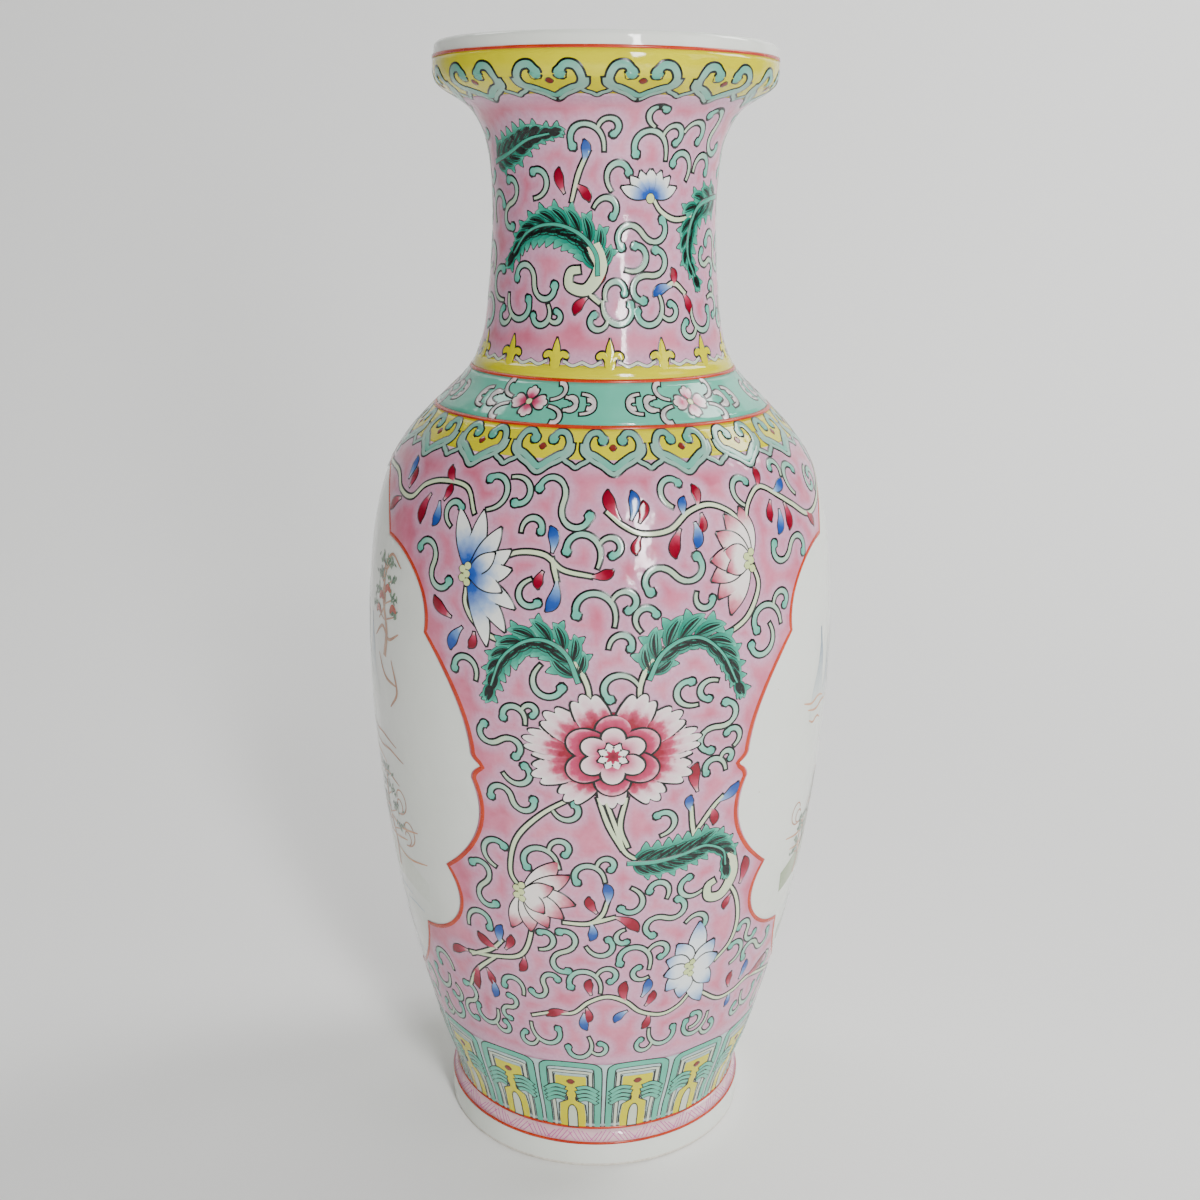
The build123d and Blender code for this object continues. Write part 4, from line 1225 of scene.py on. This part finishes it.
for x, top, drop, spread in [(-42, 236, 38, 9), (-30, 228, 30, 8), (-8, 262, 60, 17), (10, 248, 44, 14),
                             (24, 238, 34, 9)]:
    halves = [0.5, 0.12 * spread, 0.3 * spread, 0.42 * spread, 0.68 * spread, 0.9 * spread, spread]
    wash("peak", [(x, top), (x + 1, top - 0.35 * drop), (x - 1, top - 0.7 * drop), (x, top - drop)], halves,
         lift=0.03 + 0.01 * (spread % 4))
for x, y, length, paint in [(-46, 207, 22, "orange"), (-40, 203, 26, "orange"), (-44, 198, 14, "orange"),
                            (26, 189, 40, "sepia"), (34, 184, 34, "sepia"), (18, 178, 30, "orange"),
                            (-10, 200, 34, "orange"), (4, 196, 26, "sepia"), (30, 172, 30, "sepia")]:
    ripple = [(x - length / 2, y + 1), (x - length / 6, y - 1), (x + length / 6, y), (x + length / 2, y - 2)]
    wash(paint, ripple, 0.55, lift=0.09)
for x, y, hand in [(40, 156, 1), (30, 149, -1), (44, 143, 1), (-44, 153, -1), (-38, 146, 1), (0, 168, 1),
                   (-20, 160, -1), (14, 158, -1)]:
    for size in (1.0, 0.6):
        line = moved(curl(26 * size, 4.6 * hand, 0.3 * hand), x, y, 90 - 90 * hand + 10)
        panel.stroke("sepia", line, 0.35, low=0.09, high=0.10, ink=0)
    wash("orange", [(x - 14, y - 4), (x, y - 6), (x + 16, y - 3)], 0.5, lift=0.09)
wash("bank", [(-56, 128), (-30, 133), (0, 126), (30, 132), (58, 126)], [5, 7, 6, 8, 5], lift=0.03)
wash("bank", [(-40, 96), (-10, 101), (24, 96)], [4, 7, 4], lift=0.035)
for y, shift in [(118, 0), (114, 10), (110, -8), (88, 6), (84, -6), (80, 0)]:
    for x in (-34, -6, 22):
        wash("lake", [(x + shift, y), (x + shift + 9, y + 0.8), (x + shift + 18, y)], 0.4, lift=0.05)
chance = np.random.default_rng(7)
for x, foot, rise in [(40, 224, 38), (30, 128, 44), (-24, 128, 36), (-40, 126, 26), (4, 98, 26)]:
    trunk = [(x, foot), (x + 2, foot + 0.3 * rise), (x - 2, foot + 0.65 * rise), (x + 1, foot + rise)]
    wash("sepia", trunk, [1.4, 1.0, 0.8, 0.4], lift=0.10)
    for level in (0.45, 0.62, 0.8, 0.97):
        for hand in (1, -1):
            tip = (x + hand * rise * 0.30 * (1.25 - level), foot + rise * (level + 0.03))
            wash("sepia", [(x, foot + rise * (level - 0.06)), tip], 0.35, lift=0.10)
            for _ in range(16):
                at = np.array(tip) + chance.normal(0, (rise * 0.055, rise * 0.028))
                turn = chance.uniform(20, 160)
                dab = moved(np.column_stack([np.linspace(0, 2.4, 6), np.zeros(6)]), *at, turn)
                panel.stroke("pine", dab, 0.45 * np.sin(np.linspace(0.2, 2.9, 6)), low=0.12, high=0.13,
                             shade=chance.uniform(0, 1), ink=0)
for x, y in [(36, 246), (42, 250), (47, 243), (33, 240)]:
    wash("rust", [(x - 2, y), (x, y + 2.5), (x + 3, y + 1)], 1.3, lift=0.14)
for line in [[(52, 262), (44, 266), (38, 258), (40, 246), (34, 238)],
             [(52, 236), (44, 232), (38, 236), (30, 230)],
             [(34, 224), (40, 216), (50, 214)], [(46, 224), (50, 212), (44, 204)]]:
    wash("sepia", line, 0.7, lift=0.10)
fired("panel_painting", panel, 2, math.pi / 2)

# ---------------------------------------------------------------------------------------------
# Stage: a pale paper sweep, a tall narrow soft light in front that draws the long highlight, a
# broad soft one on the right, a weak one overhead, and two that light the paper behind. The
# camera looks slightly down at the vase, from a little to the left of its front.
floor_points, floor_faces = [], []
sweep = [(-3.0, 0.0), (0.9, 0.0)] + [(0.9 + 0.8 * math.sin(a), 0.8 - 0.8 * math.cos(a))
                                     for a in np.linspace(0.1, math.pi / 2, 14)] + [(1.7, 4.0)]
for i, (y, z) in enumerate(sweep):
    floor_points += [(-4.0, y, z), (4.0, y, z)]
    if i:
        floor_faces.append((2 * i - 2, 2 * i - 1, 2 * i + 1, 2 * i))
paper = bpy.data.materials.new("matte_paper_sweep")
paper.use_nodes = True
paper.node_tree.nodes["Principled BSDF"].inputs["Base Color"].default_value = linear("F6F6F4")
paper.node_tree.nodes["Principled BSDF"].inputs["Roughness"].default_value = 0.9
floor = mesh_object("stage_sweep", floor_points, floor_faces, paper)


def softbox(name, place, aim, size, power):
    """A rectangular studio light."""
    light = bpy.data.lights.new(name, "AREA")
    light.shape = "RECTANGLE"
    light.size, light.size_y = size
    light.energy = power
    made = bpy.data.objects.new(name, light)
    made.location = place
    made.rotation_euler = (Vector(aim) - Vector(place)).to_track_quat("-Z", "Y").to_euler()
    frame_scene.collection.objects.link(made)


softbox("strip_softbox", (0.42, -1.45, 0.85), (0, 0, 0.28), (0.20, 0.95), 28)
softbox("key_softbox", (1.9, -1.0, 1.1), (0, 0, 0.25), (0.9, 1.3), 8)
softbox("top_softbox", (0.1, 0.3, 2.4), (0, 0, 0.2), (1.8, 1.8), 3)
softbox("backdrop_light_right", (1.6, 0.6, 1.9), (0.2, 1.6, 0.4), (1.0, 1.0), 42)
softbox("backdrop_light_left", (-1.2, 1.1, 2.2), (-0.3, 1.7, 0.5), (0.8, 0.8), 12)
world = bpy.data.worlds.new("studio")
world.use_nodes = True
world.node_tree.nodes["Background"].inputs["Color"].default_value = (0.95, 0.97, 1.0, 1)
world.node_tree.nodes["Background"].inputs["Strength"].default_value = 0.10
frame_scene.world = world

REACH = 0.5984
EYE_HEIGHT = 0.4027
AZIMUTH = math.radians(-3.2)
PITCH = math.radians(16.07)
ROLL = math.radians(0.63)
camera = bpy.data.objects.new("camera", bpy.data.cameras.new("camera"))
camera.data.sensor_width = 36
camera.data.lens = 44.36
place = (REACH * math.sin(AZIMUTH), -REACH * math.cos(AZIMUTH), EYE_HEIGHT)
camera.matrix_world = (Matrix.Translation(place)
                       @ Matrix.Rotation(AZIMUTH, 4, "Z")
                       @ Matrix.Rotation(math.pi / 2 - PITCH, 4, "X") @ Matrix.Rotation(ROLL, 4, "Z"))
frame_scene.collection.objects.link(camera)
frame_scene.camera = camera
